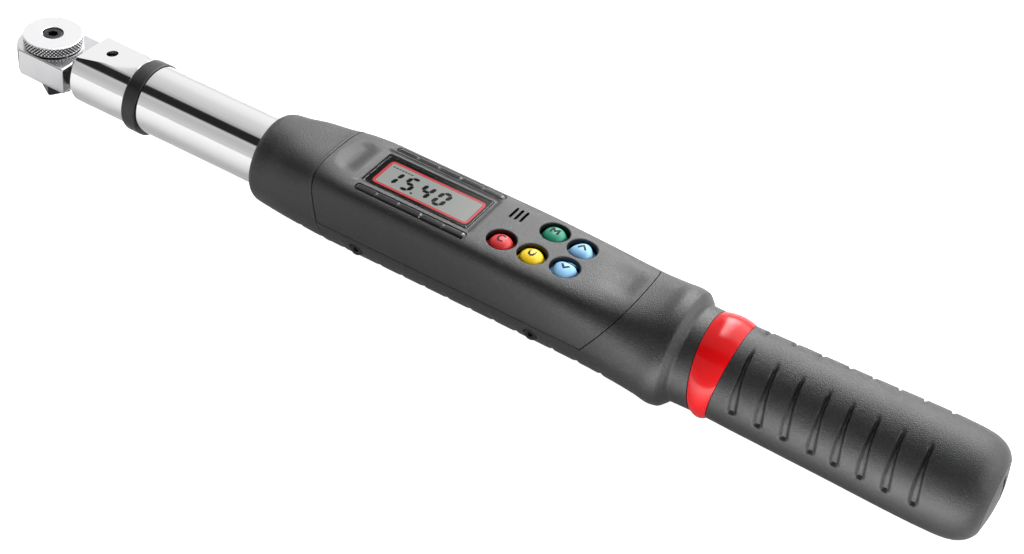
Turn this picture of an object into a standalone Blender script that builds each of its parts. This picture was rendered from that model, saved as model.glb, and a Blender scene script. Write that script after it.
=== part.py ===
"""Electronic torque wrench with an insert ratchet head, as separate solid pieces.

Lengths are written in millimetres and turned into metres when a mesh is made.
+X runs from the square drive to the end of the grip, +Z is the display side.
The origin is the centre of the end face of the square drive.
"""

import math

import bpy
import numpy as np

MM = 0.001
GAP = 0.3

# Heights of the main axes above the end face of the square drive.
AXIS_Z = 18.9

# Ratchet head.
HEAD_NOSE_RADIUS = 14.4
HEAD_HALF_WIDTH = 12.6
HEAD_REAR_X = 15.6
HEAD_BOTTOM_Z = 10.1
HEAD_TOP_Z = 22.4
HEAD_CHAMFER = 0.6
SHOULDER_REAR_X = 20.2
SHOULDER_HALF_WIDTH = 8.5
TANG_END_X = 40.5
TANG_HALF_WIDTH = 6.0
TANG_HALF_HEIGHT = 4.5
GEAR_BORE_RADIUS = 8.5
GEAR_BORE_TOP_Z = 18.9
POCKET_REAR_X = 14.9
POCKET_HALF_WIDTH = 7.4
POCKET_TOP_Z = 18.5
COVER_RADIUS = 10.6
COVER_RECESS_Z = 11.7
GEAR_TEETH = 24
GEAR_TIP_RADIUS = 8.1
GEAR_ROOT_RADIUS = 7.4
GEAR_BOTTOM_Z = 12.0
GEAR_TOP_Z = 18.5
HUB_RADIUS = 6.3
HUB_BOTTOM_Z = 9.0
SQUARE_SIDE = 9.53
SQUARE_CORNER = 0.9
SQUARE_TURN_DEG = -30.0
BALL_RADIUS = 1.6
BALL_Z = 4.6
BALL_SHOW = 0.9
BALL_BORE_RADIUS = 1.8
PAWL_PIN_X = 12.6
PAWL_PIN_RADIUS = 1.0
PAWL_REST_DEG = 6.0
PAWL_BOTTOM_Z = 12.1
PAWL_TOP_Z = 18.1
DISC_RADIUS = 12.0
DISC_BOTTOM_Z = 22.9
DISC_TOP_Z = 27.2
DISC_EDGE = 0.5
PEG_REACH = 10.2
PEG_RADIUS = 0.9
PEG_REST_DEG = -20.0
PEG_END_Z = 18.8
SLOT_DEG = 27.0
SCREW_HEAD_RADIUS = 3.9
SCREW_RECESS_RADIUS = 4.25
SCREW_SEAT_Z = 24.9
SCREW_SHANK_RADIUS = 2.0
SCREW_END_Z = 19.3
HEX_RECESS_RADIUS = 2.0

# Catch pin of the insert.
CATCH_X = 30.9
CATCH_RADIUS = 1.9
CATCH_BORE_RADIUS = 2.15
CATCH_HOLE_RADIUS = 2.35
CATCH_BOTTOM = 1.0
CATCH_TOP = 7.3
CATCH_BORE_FLOOR = -4.0

# Tool holder, seal ring and tube.
TUBE_RADIUS = 14.0
TUBE_BORE_RADIUS = 12.0
HOLDER_FRONT_X = 20.5
HOLDER_REAR_X = 46.9
FLAT_FRONT_HEIGHT = 10.4
FLAT_REAR_HEIGHT = 13.9
SOCKET_END_X = 41.5
SEAL_FRONT_X = 47.1
SEAL_REAR_X = 53.4
SEAL_RADIUS = 15.7
HOLDER_NECK_RADIUS = 11.6
SEAL_BORE_RADIUS = 11.9
TUBE_FRONT_X = 53.7
TUBE_REAR_X = 150.0
BEAM_HALF_WIDTH = 4.5
BEAM_HALF_HEIGHT = 8.0
BLOCK_FRONT_X = 122.0
BLOCK_REAR_X = 148.0
BLOCK_RADIUS = 11.6
BEAM_PIN_X = 138.0
BEAM_PIN_RADIUS = 2.5
GAUGE_X = 84.0

# Housing: stations of (x, half width, height above axis, depth below axis, corner power).
HOUSING_STATIONS = (
    (110.8, 16.4, 16.4, 16.4, 2.0),
    (112.6, 18.0, 17.2, 18.4, 2.0),
    (118.0, 18.8, 17.7, 19.1, 2.15),
    (126.0, 19.5, 17.9, 19.6, 2.7),
    (135.0, 20.0, 17.9, 20.0, 3.2),
    (146.0, 20.4, 17.5, 20.3, 4.1),
    (157.0, 20.5, 17.2, 20.4, 5.0),
    (215.0, 20.5, 17.2, 20.4, 5.0),
    (241.0, 20.5, 17.3, 20.5, 4.2),
    (258.0, 20.6, 17.6, 20.7, 3.6),
    (270.0, 21.2, 18.6, 21.2, 2.9),
    (280.0, 22.0, 20.6, 22.0, 2.3),
    (286.0, 22.8, 22.4, 22.8, 2.0),
    (289.0, 22.4, 22.2, 22.4, 2.0),
    (291.2, 20.8, 20.8, 20.8, 2.0),
    (292.6, 18.6, 18.6, 18.6, 2.0),
    (303.5, 18.4, 18.4, 18.4, 2.0),
)
HOUSING_AROUND = 30
WALL = 2.0
CAVITY_FRONT_X = 128.0
CAVITY_REAR_X = 283.0
RIB_CENTRES = (134.1, 144.3, 154.4, 170.6, 180.5, 190.4, 200.5, 210.6, 220.6, 230.5, 245.7, 255.9, 266.1)
RIB_GROOVE_HALF_WIDTH = 1.3
RIB_GROOVE_DEPTH = 0.9
SEAM_Z = -3.0
COVER_FRONT_TOP_X = 140.2
COVER_FRONT_SIDE_X = 145.0
COVER_REAR_TOP_X = 271.5
COVER_REAR_SIDE_X = 258.5
PANEL_TOP = 17.2
SCREW_XS = (162.2, 238.0)
SCREW_DROP = -8.3

# Display, light bars and keypad.
LENS_FRONT_X = 156.7
LENS_REAR_X = 202.5
LENS_HALF_WIDTH = 9.9
LENS_BOTTOM = 15.9
BAR_Y = 13.8
BAR_HEIGHT = 14.9
BAR_RADIUS = 2.5
BAR_FRONT_X = 156.9
BAR_REAR_X = 205.0
BOARD_FRONT_X = 151.6
BOARD_REAR_X = 266.0
BOARD_HALF_WIDTH = 15.0
BOARD_BOTTOM = 5.6
BOARD_TOP = 7.2
BUTTON_PLACES = {
    "button_clear": (215.9, -7.4, "red_plastic"),
    "button_units": (228.7, -7.4, "yellow_plastic"),
    "button_menu": (229.2, 8.4, "green_plastic"),
    "button_up": (241.7, 6.5, "blue_plastic"),
    "button_down": (241.7, -6.5, "blue_plastic"),
}
BUTTON_HOLE_RADIUS = 5.5
BUTTON_CAP_RADIUS = 4.9
BUTTON_FLANGE_RADIUS = 5.9
BUZZER_X = 213.8
BUZZER_Y = 8.6
SLOT_XS = (211.6, 213.8, 216.0)
SLOT_Y0 = 5.3
SLOT_Y1 = 12.0

# Handle.
HANDLE_TUBE_RADIUS = 15.5
HANDLE_BORE_RADIUS = 13.6
HANDLE_TUBE_FRONT_X = 274.0
HANDLE_TUBE_REAR_X = 399.0
RING_RADIUS = 19.5
RING_FRONT_TOP_X = 297.5
RING_FRONT_BOTTOM_X = 302.4
RING_REAR_TOP_X = 310.2
RING_REAR_BOTTOM_X = 306.6
GRIP_END_X = 406.6
GRIP_PROFILE = (
    (303.0, 18.3),
    (330.0, 18.9),
    (350.0, 19.3),
    (386.0, 20.1),
    (396.0, 19.9),
    (400.0, 19.3),
    (403.2, 17.9),
    (405.4, 15.9),
    (406.6, 13.6),
)
GRIP_GROOVE_XS = (316.6, 326.4, 336.3, 346.4, 355.3, 365.0, 374.4, 384.4)
GRIP_GROOVE_HALF_WIDTH = 2.6
GRIP_GROOVE_DEPTH = 1.1
GRIP_AROUND = 28
CAP_RADIUS = 13.0
CAP_HOLE_RADIUS = 13.3
CAP_RIM_X = 406.6
CAP_CENTRE_X = 408.4
BATTERY_RADIUS = 7.15
BATTERY_LENGTH = 50.5
BATTERY_FRONT_X = 288.0

MATERIALS = {
    "chrome": ((0.80, 0.80, 0.82), 0.16, 1.0),
    "dark_steel": ((0.06, 0.06, 0.065), 0.35, 1.0),
    "spring_steel": ((0.45, 0.45, 0.47), 0.32, 1.0),
    "brass": ((0.72, 0.52, 0.22), 0.30, 1.0),
    "black_plastic": ((0.012, 0.012, 0.013), 0.38, 0.0),
    "housing_plastic": ((0.055, 0.056, 0.060), 0.60, 0.0),
    "grip_plastic": ((0.050, 0.051, 0.055), 0.66, 0.0),
    "red_gloss": ((0.62, 0.012, 0.018), 0.18, 0.0),
    "red_plastic": ((0.66, 0.02, 0.03), 0.35, 0.0),
    "yellow_plastic": ((0.86, 0.62, 0.03), 0.35, 0.0),
    "green_plastic": ((0.02, 0.42, 0.27), 0.35, 0.0),
    "blue_plastic": ((0.18, 0.50, 0.78), 0.35, 0.0),
    "lens_glass": ((0.30, 0.33, 0.31), 0.05, 0.0),
    "lcd_glass": ((0.46, 0.50, 0.46), 0.25, 0.0),
    "board_green": ((0.02, 0.16, 0.07), 0.45, 0.0),
    "white_plastic": ((0.75, 0.75, 0.73), 0.45, 0.0),
    "foil": ((0.70, 0.48, 0.20), 0.40, 0.0),
    "rubber": ((0.015, 0.015, 0.015), 0.75, 0.0),
    "battery_wrap": ((0.05, 0.14, 0.34), 0.35, 0.0),
}


def clear_scene():
    """Remove everything the start-up scene holds."""
    for item in list(bpy.data.objects):
        bpy.data.objects.remove(item, do_unlink=True)


def make_materials():
    """One Principled material per finish."""
    made = {}
    for name, (colour, roughness, metallic) in MATERIALS.items():
        material = bpy.data.materials.new(name)
        material.use_nodes = True
        shader = material.node_tree.nodes["Principled BSDF"]
        shader.inputs["Base Color"].default_value = (*colour, 1.0)
        shader.inputs["Roughness"].default_value = roughness
        shader.inputs["Metallic"].default_value = metallic
        made[name] = material
    return made


def add_object(name, points, faces, material=None):
    """A mesh object from millimetre points, placed in the scene."""
    mesh = bpy.data.meshes.new(name)
    coords = [tuple(float(c) * MM for c in p) for p in points]
    mesh.from_pydata(coords, [], [tuple(int(i) for i in f) for f in faces])
    mesh.update()
    item = bpy.data.objects.new(name, mesh)
    bpy.context.scene.collection.objects.link(item)
    if material is not None:
        mesh.materials.append(material)
    return item


def loft(name, rings, material=None):
    """A closed solid through rings of equal point count, capped at both ends."""
    count = len(rings[0])
    points = [p for ring in rings for p in ring]
    faces = [tuple(range(count))[::-1]]
    for row in range(len(rings) - 1):
        base = row * count
        for i in range(count):
            j = (i + 1) % count
            faces.append((base + i, base + j, base + count + j, base + count + i))
    last = (len(rings) - 1) * count
    faces.append(tuple(range(last, last + count)))
    return face_outward(add_object(name, points, faces, material))


def face_outward(item):
    """Turn the faces outward when the enclosed volume comes out negative."""
    mesh = item.data
    volume = 0.0
    for polygon in mesh.polygons:
        corners = [mesh.vertices[i].co for i in polygon.vertices]
        for k in range(1, len(corners) - 1):
            volume += corners[0].dot(corners[k].cross(corners[k + 1]))
    if volume < 0.0:
        mesh.flip_normals()
    return item


def prism(name, outline, plane, low, high, material=None):
    """A polygon in the named plane pushed out between two levels of the third axis."""
    def place(level):
        if plane == "xy":
            return [(a, b, level) for a, b in outline]
        if plane == "xz":
            return [(a, level, b) for a, b in outline]
        return [(level, a, b) for a, b in outline]

    return loft(name, [place(low), place(high)], material)


def box(name, x0, x1, y0, y1, z0, z1, material=None):
    """A plain block between two corners."""
    return prism(name, [(x0, y0), (x1, y0), (x1, y1), (x0, y1)], "xy", z0, z1, material)


def circle(radius, count, centre=(0.0, 0.0), start=0.0):
    """Points of a circle in a plane."""
    angles = [start + 2.0 * math.pi * i / count for i in range(count)]
    return [(centre[0] + radius * math.cos(a), centre[1] + radius * math.sin(a)) for a in angles]


def turned_z(name, profile, centre, count, material=None):
    """A solid turned about an upright axis from (height, radius) pairs, flat at both ends."""
    rings = []
    for height, radius in profile:
        rings.append([(x, y, height) for x, y in circle(radius, count, centre)])
    return loft(name, rings, material)


def turned_x(name, profile, count, material=None, axis=(0.0, AXIS_Z)):
    """A solid turned about the long axis from (x, radius) pairs, flat at both ends."""
    rings = []
    for x, radius in profile:
        rings.append([(x, y, z) for y, z in circle(radius, count, axis)])
    return loft(name, rings, material)


def ring_x(name, profile, count, material=None, axis=(0.0, AXIS_Z)):
    """A ring turned about the long axis from a closed outline of (x, radius) pairs."""
    size = len(profile)
    points = []
    for i in range(count):
        angle = 2.0 * math.pi * i / count
        for x, radius in profile:
            points.append((x, axis[0] + radius * math.cos(angle), axis[1] + radius * math.sin(angle)))
    faces = []
    for i in range(count):
        here = i * size
        there = ((i + 1) % count) * size
        for k in range(size):
            n = (k + 1) % size
            faces.append((here + k, here + n, there + n, there + k))
    return face_outward(add_object(name, points, faces, material))


def rod_y(name, x, z, radius, y0, y1, count, material=None):
    """A round rod lying across the wrench."""
    return prism(name, circle(radius, count, (x, z)), "xz", y0, y1, material)


def combine(item, other, operation):
    """Apply one exact boolean and drop the second body."""
    modifier = item.modifiers.new(operation.lower(), "BOOLEAN")
    modifier.operation = operation
    modifier.solver = "EXACT"
    modifier.object = other
    graph = bpy.context.evaluated_depsgraph_get()
    graph.update()
    mesh = bpy.data.meshes.new_from_object(item.evaluated_get(graph))
    mesh.name = item.name
    item.modifiers.clear()
    item.data = mesh
    bpy.data.objects.remove(other, do_unlink=True)
    return item


def cut(item, *others):
    """Take each of the other bodies away."""
    for other in others:
        combine(item, other, "DIFFERENCE")
    return item


def join(item, *others):
    """Fuse each of the other bodies on."""
    for other in others:
        combine(item, other, "UNION")
    return item


def set_origin(item, point):
    """Move the object's origin to a millimetre point without moving its shape."""
    shift = [float(c) * MM for c in point]
    for vertex in item.data.vertices:
        vertex.co.x -= shift[0]
        vertex.co.y -= shift[1]
        vertex.co.z -= shift[2]
    item.location = shift
    return item


def coil(name, start, direction, length, radius, wire, turns, material):
    """A closed round-wire compression spring along a unit direction."""
    around = 5
    per_turn = 9
    along = np.array(direction, float)
    along /= np.linalg.norm(along)
    helper = np.array([0.0, 0.0, 1.0]) if abs(along[2]) < 0.9 else np.array([1.0, 0.0, 0.0])
    side = np.cross(along, helper)
    side /= np.linalg.norm(side)
    other = np.cross(along, side)
    rings = []
    total = turns * per_turn
    for i in range(total + 1):
        angle = 2.0 * math.pi * i / per_turn
        outward = side * math.cos(angle) + other * math.sin(angle)
        centre = np.array(start) + along * (wire + (length - 2.0 * wire) * i / total) + outward * radius
        ring = []
        for k in range(around):
            t = 2.0 * math.pi * k / around
            ring.append(tuple(centre + outward * wire * math.cos(t) + along * wire * math.sin(t)))
        rings.append(ring)
    return loft(name, rings, material)


def head_outline(inset):
    """Plan of the ratchet head: a round nose between two flat flanks and a square rear."""
    radius = HEAD_NOSE_RADIUS - inset
    half = HEAD_HALF_WIDTH - inset
    rear = HEAD_REAR_X - inset
    limit = math.pi - math.asin(half / radius)
    steps = 16
    points = [(rear, -half), (rear, half)]
    for i in range(steps + 1):
        angle = limit + (2.0 * math.pi - 2.0 * limit) * i / steps
        points.append((radius * math.cos(angle), radius * math.sin(angle)))
    return points


def cover_outline(grow):
    """Plan of the plate under the head: round at the drive, straight to the tang."""
    radius = COVER_RADIUS + grow
    rear = POCKET_REAR_X - 0.2 + grow
    half = POCKET_HALF_WIDTH + 0.6 + grow
    start = math.asin(half / radius)
    steps = 24
    points = [(rear, -half), (rear, half)]
    for i in range(steps + 1):
        angle = start + (2.0 * math.pi - 2.0 * start) * i / steps
        points.append((radius * math.cos(angle), radius * math.sin(angle)))
    return points


def build_head(mats):
    """Head body with its tang, gear bore, pawl pocket and slot for the selector peg."""
    rings = []
    for inset, z in (
        (HEAD_CHAMFER, HEAD_BOTTOM_Z),
        (0.0, HEAD_BOTTOM_Z + HEAD_CHAMFER),
        (0.0, HEAD_TOP_Z - HEAD_CHAMFER),
        (HEAD_CHAMFER, HEAD_TOP_Z),
    ):
        rings.append([(x, y, z) for x, y in head_outline(inset)])
    head = loft("head_body", rings, mats["chrome"])
    shoulder = box("shoulder", HEAD_REAR_X - 3.0, SHOULDER_REAR_X, -SHOULDER_HALF_WIDTH,
                   SHOULDER_HALF_WIDTH, HEAD_BOTTOM_Z + 1.4, HEAD_TOP_Z - 0.2)
    tang = box("tang", HEAD_REAR_X - 0.5, TANG_END_X, -TANG_HALF_WIDTH, TANG_HALF_WIDTH,
               AXIS_Z - TANG_HALF_HEIGHT, AXIS_Z + TANG_HALF_HEIGHT)
    join(head, shoulder, tang)
    bore = turned_z("bore", [(HEAD_BOTTOM_Z - 1.0, GEAR_BORE_RADIUS), (GEAR_BORE_TOP_Z, GEAR_BORE_RADIUS)],
                    (0.0, 0.0), 48)
    pocket = box("pocket", 4.0, POCKET_REAR_X, -POCKET_HALF_WIDTH, POCKET_HALF_WIDTH,
                 HEAD_BOTTOM_Z - 1.0, POCKET_TOP_Z)
    recess = prism("recess", cover_outline(GAP), "xy", HEAD_BOTTOM_Z - 1.0, COVER_RECESS_Z)
    thread = turned_z("thread", [(18.0, SCREW_SHANK_RADIUS + GAP), (HEAD_TOP_Z + 1.0, SCREW_SHANK_RADIUS + GAP)],
                      (0.0, 0.0), 20)
    pin = turned_z("pin", [(HEAD_BOTTOM_Z, PAWL_PIN_RADIUS + 0.15), (20.6, PAWL_PIN_RADIUS + 0.15)],
                   (PAWL_PIN_X, 0.0), 14)
    catch = turned_z("catch", [(AXIS_Z + CATCH_BORE_FLOOR, CATCH_BORE_RADIUS), (AXIS_Z + 6.0, CATCH_BORE_RADIUS)],
                     (CATCH_X, 0.0), 20)
    cut(head, bore, pocket, recess, thread, pin, catch, peg_slot())
    return head


def peg_slot():
    """Curved opening above the pawl for the peg of the selector disc."""
    inner = PEG_REACH - PEG_RADIUS - 0.25
    outer = min(PEG_REACH + PEG_RADIUS + 0.25, DISC_RADIUS - 0.1)
    limit = math.radians(SLOT_DEG)
    steps = 8
    arc = [-limit + 2.0 * limit * i / steps for i in range(steps + 1)]
    points = [(outer * math.cos(a), outer * math.sin(a)) for a in arc]
    points += [(inner * math.cos(a), inner * math.sin(a)) for a in reversed(arc)]
    return prism("slot", points, "xy", POCKET_TOP_Z - 0.5, HEAD_TOP_Z + 1.0)


def square_direction():
    """Unit direction in plan in which the detent ball looks out."""
    angle = math.radians(SQUARE_TURN_DEG - 90.0)
    return math.cos(angle), math.sin(angle)


def build_drive(mats):
    """Ratchet wheel, hub and square drive in one piece, with the bore of the ball."""
    outline = []
    pitch = 2.0 * math.pi / GEAR_TEETH
    for i in range(GEAR_TEETH):
        angle = pitch * i
        for share, radius in ((-0.18, GEAR_TIP_RADIUS), (0.18, GEAR_TIP_RADIUS), (0.5, GEAR_ROOT_RADIUS)):
            outline.append((radius * math.cos(angle + share * pitch), radius * math.sin(angle + share * pitch)))
    gear = prism("drive_gear", outline, "xy", GEAR_BOTTOM_Z, GEAR_TOP_Z, mats["chrome"])
    hub = turned_z("hub", [(HUB_BOTTOM_Z, HUB_RADIUS), (GEAR_BOTTOM_Z + 0.5, HUB_RADIUS)], (0.0, 0.0), 36)
    half = SQUARE_SIDE / 2.0
    corner = SQUARE_CORNER
    corners = []
    for sx, sy in ((1, -1), (1, 1), (-1, 1), (-1, -1)):
        near = (sx * half, sy * (half - corner))
        far = (sx * (half - corner), sy * half)
        corners += [near, far] if sx == sy else [far, near]
    turn = math.radians(SQUARE_TURN_DEG)
    rings = []
    for scale, z in ((0.88, 0.0), (1.0, 0.8), (1.0, HUB_BOTTOM_Z + 0.5)):
        rings.append([
            (scale * (x * math.cos(turn) - y * math.sin(turn)), scale * (x * math.sin(turn) + y * math.cos(turn)), z)
            for x, y in corners
        ])
    square = loft("square", rings)
    join(gear, hub, square)
    dx, dy = square_direction()
    bore_rings = []
    for reach in (-1.6, half + 1.0):
        ring = []
        for k in range(14):
            t = 2.0 * math.pi * k / 14
            across = BALL_BORE_RADIUS * math.cos(t)
            ring.append((dx * reach - dy * across, dy * reach + dx * across, BALL_Z + BALL_BORE_RADIUS * math.sin(t)))
        bore_rings.append(ring)
    return cut(gear, loft("ball_bore", bore_rings))


def ball(name, centre, radius, material):
    """A ball from rings between two small polar faces."""
    profile = []
    steps = 8
    for i in range(steps + 1):
        t = math.pi * (0.04 + 0.92 * i / steps)
        profile.append((centre[2] - radius * math.cos(t), radius * math.sin(t)))
    return turned_z(name, profile, (centre[0], centre[1]), 14, material)


def build_detent(mats):
    """Ball and spring that hold a socket on the square."""
    dx, dy = square_direction()
    reach = SQUARE_SIDE / 2.0 + BALL_SHOW - BALL_RADIUS
    centre = (dx * reach, dy * reach, BALL_Z)
    set_origin(ball("detent_ball", centre, BALL_RADIUS, mats["spring_steel"]), centre)
    start = (dx * -1.4, dy * -1.4, BALL_Z)
    coil("detent_spring", start, (dx, dy, 0.0), reach - BALL_RADIUS + 0.4, 1.0, 0.22, 3, mats["spring_steel"])


def build_pawl(mats):
    """Two-armed pawl on its pin, resting against one side of the wheel, and the plate below."""
    arc = [math.radians(-30.0 + 10.0 * i) for i in range(7)]
    points = [(8.9 * math.cos(a), 8.9 * math.sin(a)) for a in arc]
    points += [(7.75, 5.15), (9.0, 5.9), (11.0, 5.0), (13.6, 2.5), (14.4, 0.0)]
    points += [(13.6, -2.5), (11.0, -5.0), (9.0, -5.9), (7.75, -5.15)]
    turn = math.radians(PAWL_REST_DEG)
    turned = []
    for x, y in points:
        dx = x - PAWL_PIN_X
        turned.append((PAWL_PIN_X + dx * math.cos(turn) - y * math.sin(turn), dx * math.sin(turn) + y * math.cos(turn)))
    pawl = prism("pawl", turned, "xy", PAWL_BOTTOM_Z, PAWL_TOP_Z, mats["spring_steel"])
    hole = turned_z("hole", [(PAWL_BOTTOM_Z - 1.0, PAWL_PIN_RADIUS + 0.25), (PAWL_TOP_Z + 1.0, PAWL_PIN_RADIUS + 0.25)],
                    (PAWL_PIN_X, 0.0), 14)
    set_origin(cut(pawl, hole), (PAWL_PIN_X, 0.0, PAWL_BOTTOM_Z))
    turned_z("pawl_pin", [(COVER_RECESS_Z + 0.1, PAWL_PIN_RADIUS), (20.3, PAWL_PIN_RADIUS)],
             (PAWL_PIN_X, 0.0), 14, mats["spring_steel"])
    plate = prism("head_cover", cover_outline(0.0), "xy", HEAD_BOTTOM_Z, COVER_RECESS_Z - GAP, mats["dark_steel"])
    opening = turned_z("opening", [(HEAD_BOTTOM_Z - 1.0, HUB_RADIUS + GAP), (COVER_RECESS_Z, HUB_RADIUS + GAP)],
                       (0.0, 0.0), 36)
    cut(plate, opening)


def build_disc(mats):
    """Knurled selector disc with its peg, and the screw that holds it."""
    disc = turned_z("direction_disc", [
        (DISC_BOTTOM_Z, DISC_RADIUS - DISC_EDGE),
        (DISC_BOTTOM_Z + DISC_EDGE, DISC_RADIUS),
        (DISC_TOP_Z - DISC_EDGE, DISC_RADIUS),
        (DISC_TOP_Z, DISC_RADIUS - DISC_EDGE),
    ], (0.0, 0.0), 48, mats["chrome"])
    angle = math.radians(PEG_REST_DEG)
    place = (PEG_REACH * math.cos(angle), PEG_REACH * math.sin(angle))
    peg = turned_z("peg", [(PEG_END_Z, PEG_RADIUS), (DISC_BOTTOM_Z + 1.0, PEG_RADIUS)], place, 12)
    join(disc, peg)
    recess = turned_z("recess", [(SCREW_SEAT_Z - GAP, SCREW_RECESS_RADIUS), (DISC_TOP_Z + 1.0, SCREW_RECESS_RADIUS)],
                      (0.0, 0.0), 36)
    shank = turned_z("shank", [(DISC_BOTTOM_Z - 1.0, SCREW_SHANK_RADIUS + GAP), (DISC_TOP_Z, SCREW_SHANK_RADIUS + GAP)],
                     (0.0, 0.0), 20)
    set_origin(cut(disc, recess, shank), (0.0, 0.0, DISC_BOTTOM_Z))
    screw = turned_z("disc_screw", [
        (SCREW_END_Z, SCREW_SHANK_RADIUS),
        (SCREW_SEAT_Z, SCREW_SHANK_RADIUS),
        (SCREW_SEAT_Z + 0.01, SCREW_HEAD_RADIUS),
        (DISC_TOP_Z - 0.5, SCREW_HEAD_RADIUS),
        (DISC_TOP_Z - 0.1, SCREW_HEAD_RADIUS - 0.4),
    ], (0.0, 0.0), 30, mats["dark_steel"])
    recess = turned_z("hex", [(DISC_TOP_Z - 1.8, HEX_RECESS_RADIUS), (DISC_TOP_Z + 1.0, HEX_RECESS_RADIUS)],
                      (0.0, 0.0), 6)
    cut(screw, recess)


def build_catch(mats):
    """Spring pin in the tang that holds the insert in the tool holder."""
    pin = turned_z("catch_pin", [
        (AXIS_Z + CATCH_BOTTOM, CATCH_RADIUS),
        (AXIS_Z + CATCH_TOP - 0.5, CATCH_RADIUS),
        (AXIS_Z + CATCH_TOP, CATCH_RADIUS - 0.5),
    ], (CATCH_X, 0.0), 20, mats["spring_steel"])
    set_origin(pin, (CATCH_X, 0.0, AXIS_Z + CATCH_BOTTOM))
    coil("catch_spring", (CATCH_X, 0.0, AXIS_Z + CATCH_BORE_FLOOR + 0.1), (0.0, 0.0, 1.0),
         CATCH_BOTTOM - CATCH_BORE_FLOOR - 0.3, 1.3, 0.28, 5, mats["spring_steel"])


def build_holder(mats):
    """Tool holder with the rectangular socket and the bending beam behind it."""
    holder = turned_x("tool_holder", [
        (HOLDER_FRONT_X, TUBE_RADIUS - 0.5),
        (HOLDER_FRONT_X + 0.5, TUBE_RADIUS),
        (HOLDER_REAR_X, TUBE_RADIUS),
        (HOLDER_REAR_X + 0.01, HOLDER_NECK_RADIUS),
        (SEAL_REAR_X + 2.0, HOLDER_NECK_RADIUS),
    ], 48, mats["chrome"])
    beam = box("beam", SEAL_REAR_X, BLOCK_FRONT_X + 1.0, -BEAM_HALF_WIDTH, BEAM_HALF_WIDTH,
               AXIS_Z - BEAM_HALF_HEIGHT, AXIS_Z + BEAM_HALF_HEIGHT)
    block = turned_x("block", [(BLOCK_FRONT_X, BLOCK_RADIUS), (BLOCK_REAR_X, BLOCK_RADIUS)], 32)
    join(holder, beam, block)
    low = AXIS_Z + FLAT_FRONT_HEIGHT
    rise = (FLAT_REAR_HEIGHT - FLAT_FRONT_HEIGHT) / (SEAL_FRONT_X - HOLDER_FRONT_X)
    outline = [
        (HOLDER_FRONT_X - 2.0, low - 2.0 * rise),
        (HOLDER_REAR_X + 3.0, low + rise * (HOLDER_REAR_X + 3.0 - HOLDER_FRONT_X)),
        (HOLDER_REAR_X + 3.0, AXIS_Z + 20.0),
        (HOLDER_FRONT_X - 2.0, AXIS_Z + 20.0),
    ]
    wedge = prism("wedge", outline, "xz", -20.0, 20.0)
    socket = box("socket", HOLDER_FRONT_X - 1.0, SOCKET_END_X, -TANG_HALF_WIDTH - GAP, TANG_HALF_WIDTH + GAP,
                 AXIS_Z - TANG_HALF_HEIGHT - GAP, AXIS_Z + TANG_HALF_HEIGHT + GAP)
    hole = turned_z("hole", [(AXIS_Z, CATCH_HOLE_RADIUS), (AXIS_Z + 20.0, CATCH_HOLE_RADIUS)], (CATCH_X, 0.0), 24)
    pin = rod_y("pin", BEAM_PIN_X, AXIS_Z, BEAM_PIN_RADIUS + 0.15, -15.0, 15.0, 16)
    cut(holder, wedge, socket, hole, pin)


def build_tube(mats):
    """Outer tube, seal ring, cross pin and strain gauges."""
    ring_x("seal_ring", [
        (SEAL_FRONT_X, SEAL_BORE_RADIUS), (SEAL_FRONT_X, SEAL_RADIUS - 0.9),
        (SEAL_FRONT_X + 0.9, SEAL_RADIUS), (SEAL_REAR_X - 0.4, SEAL_RADIUS),
        (SEAL_REAR_X, SEAL_RADIUS - 0.4), (SEAL_REAR_X, SEAL_BORE_RADIUS),
    ], 48, mats["black_plastic"])
    tube = ring_x("tube", [
        (TUBE_FRONT_X, TUBE_BORE_RADIUS), (TUBE_FRONT_X, TUBE_RADIUS - 0.3),
        (TUBE_FRONT_X + 0.3, TUBE_RADIUS), (TUBE_REAR_X, TUBE_RADIUS), (TUBE_REAR_X, TUBE_BORE_RADIUS),
    ], 48, mats["chrome"])
    cut(tube, rod_y("pin", BEAM_PIN_X, AXIS_Z, BEAM_PIN_RADIUS + 0.15, -16.0, 16.0, 16))
    rod_y("beam_pin", BEAM_PIN_X, AXIS_Z, BEAM_PIN_RADIUS, -13.8, 13.8, 16, mats["spring_steel"])
    for name, side in (("gauge_near", -1.0), ("gauge_far", 1.0)):
        inner = side * (BEAM_HALF_WIDTH + 0.15)
        outer = side * (BEAM_HALF_WIDTH + 0.45)
        box(name, GAUGE_X - 6.0, GAUGE_X + 6.0, min(inner, outer), max(inner, outer), AXIS_Z - 3.5, AXIS_Z + 3.5,
            mats["foil"])


def housing_ring(x, inset, groove):
    """One section of the housing: round below the axis, squarer above it."""
    table = np.array(HOUSING_STATIONS)
    half, top, bottom, power = [np.interp(x, table[:, 0], table[:, k]) for k in (1, 2, 3, 4)]
    half -= inset
    top -= inset
    bottom -= inset
    ring = []
    for i in range(HOUSING_AROUND):
        angle = 2.0 * math.pi * i / HOUSING_AROUND
        c = math.cos(angle)
        s = math.sin(angle)
        if s >= 0.0:
            scale = (abs(c) ** power + abs(s) ** power) ** (-1.0 / power)
            ring.append((x, half * scale * c, AXIS_Z + top * scale * s))
        else:
            fade = min(1.0, max(0.0, (-s - 0.35) / 0.2))
            down = bottom - groove * fade
            ring.append((x, half * c, AXIS_Z + down * s))
    return ring


def housing_outer(name, grooves, material=None):
    """Whole outer form of the housing with the given cross grooves under it."""
    stations = {x: 0.0 for x, *_ in HOUSING_STATIONS}
    for centre in grooves:
        stations[centre - RIB_GROOVE_HALF_WIDTH] = 0.0
        stations[centre] = RIB_GROOVE_DEPTH
        stations[centre + RIB_GROOVE_HALF_WIDTH] = 0.0
    rings = [housing_ring(x, 0.0, stations[x]) for x in sorted(stations)]
    return loft(name, rings, material)


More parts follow.
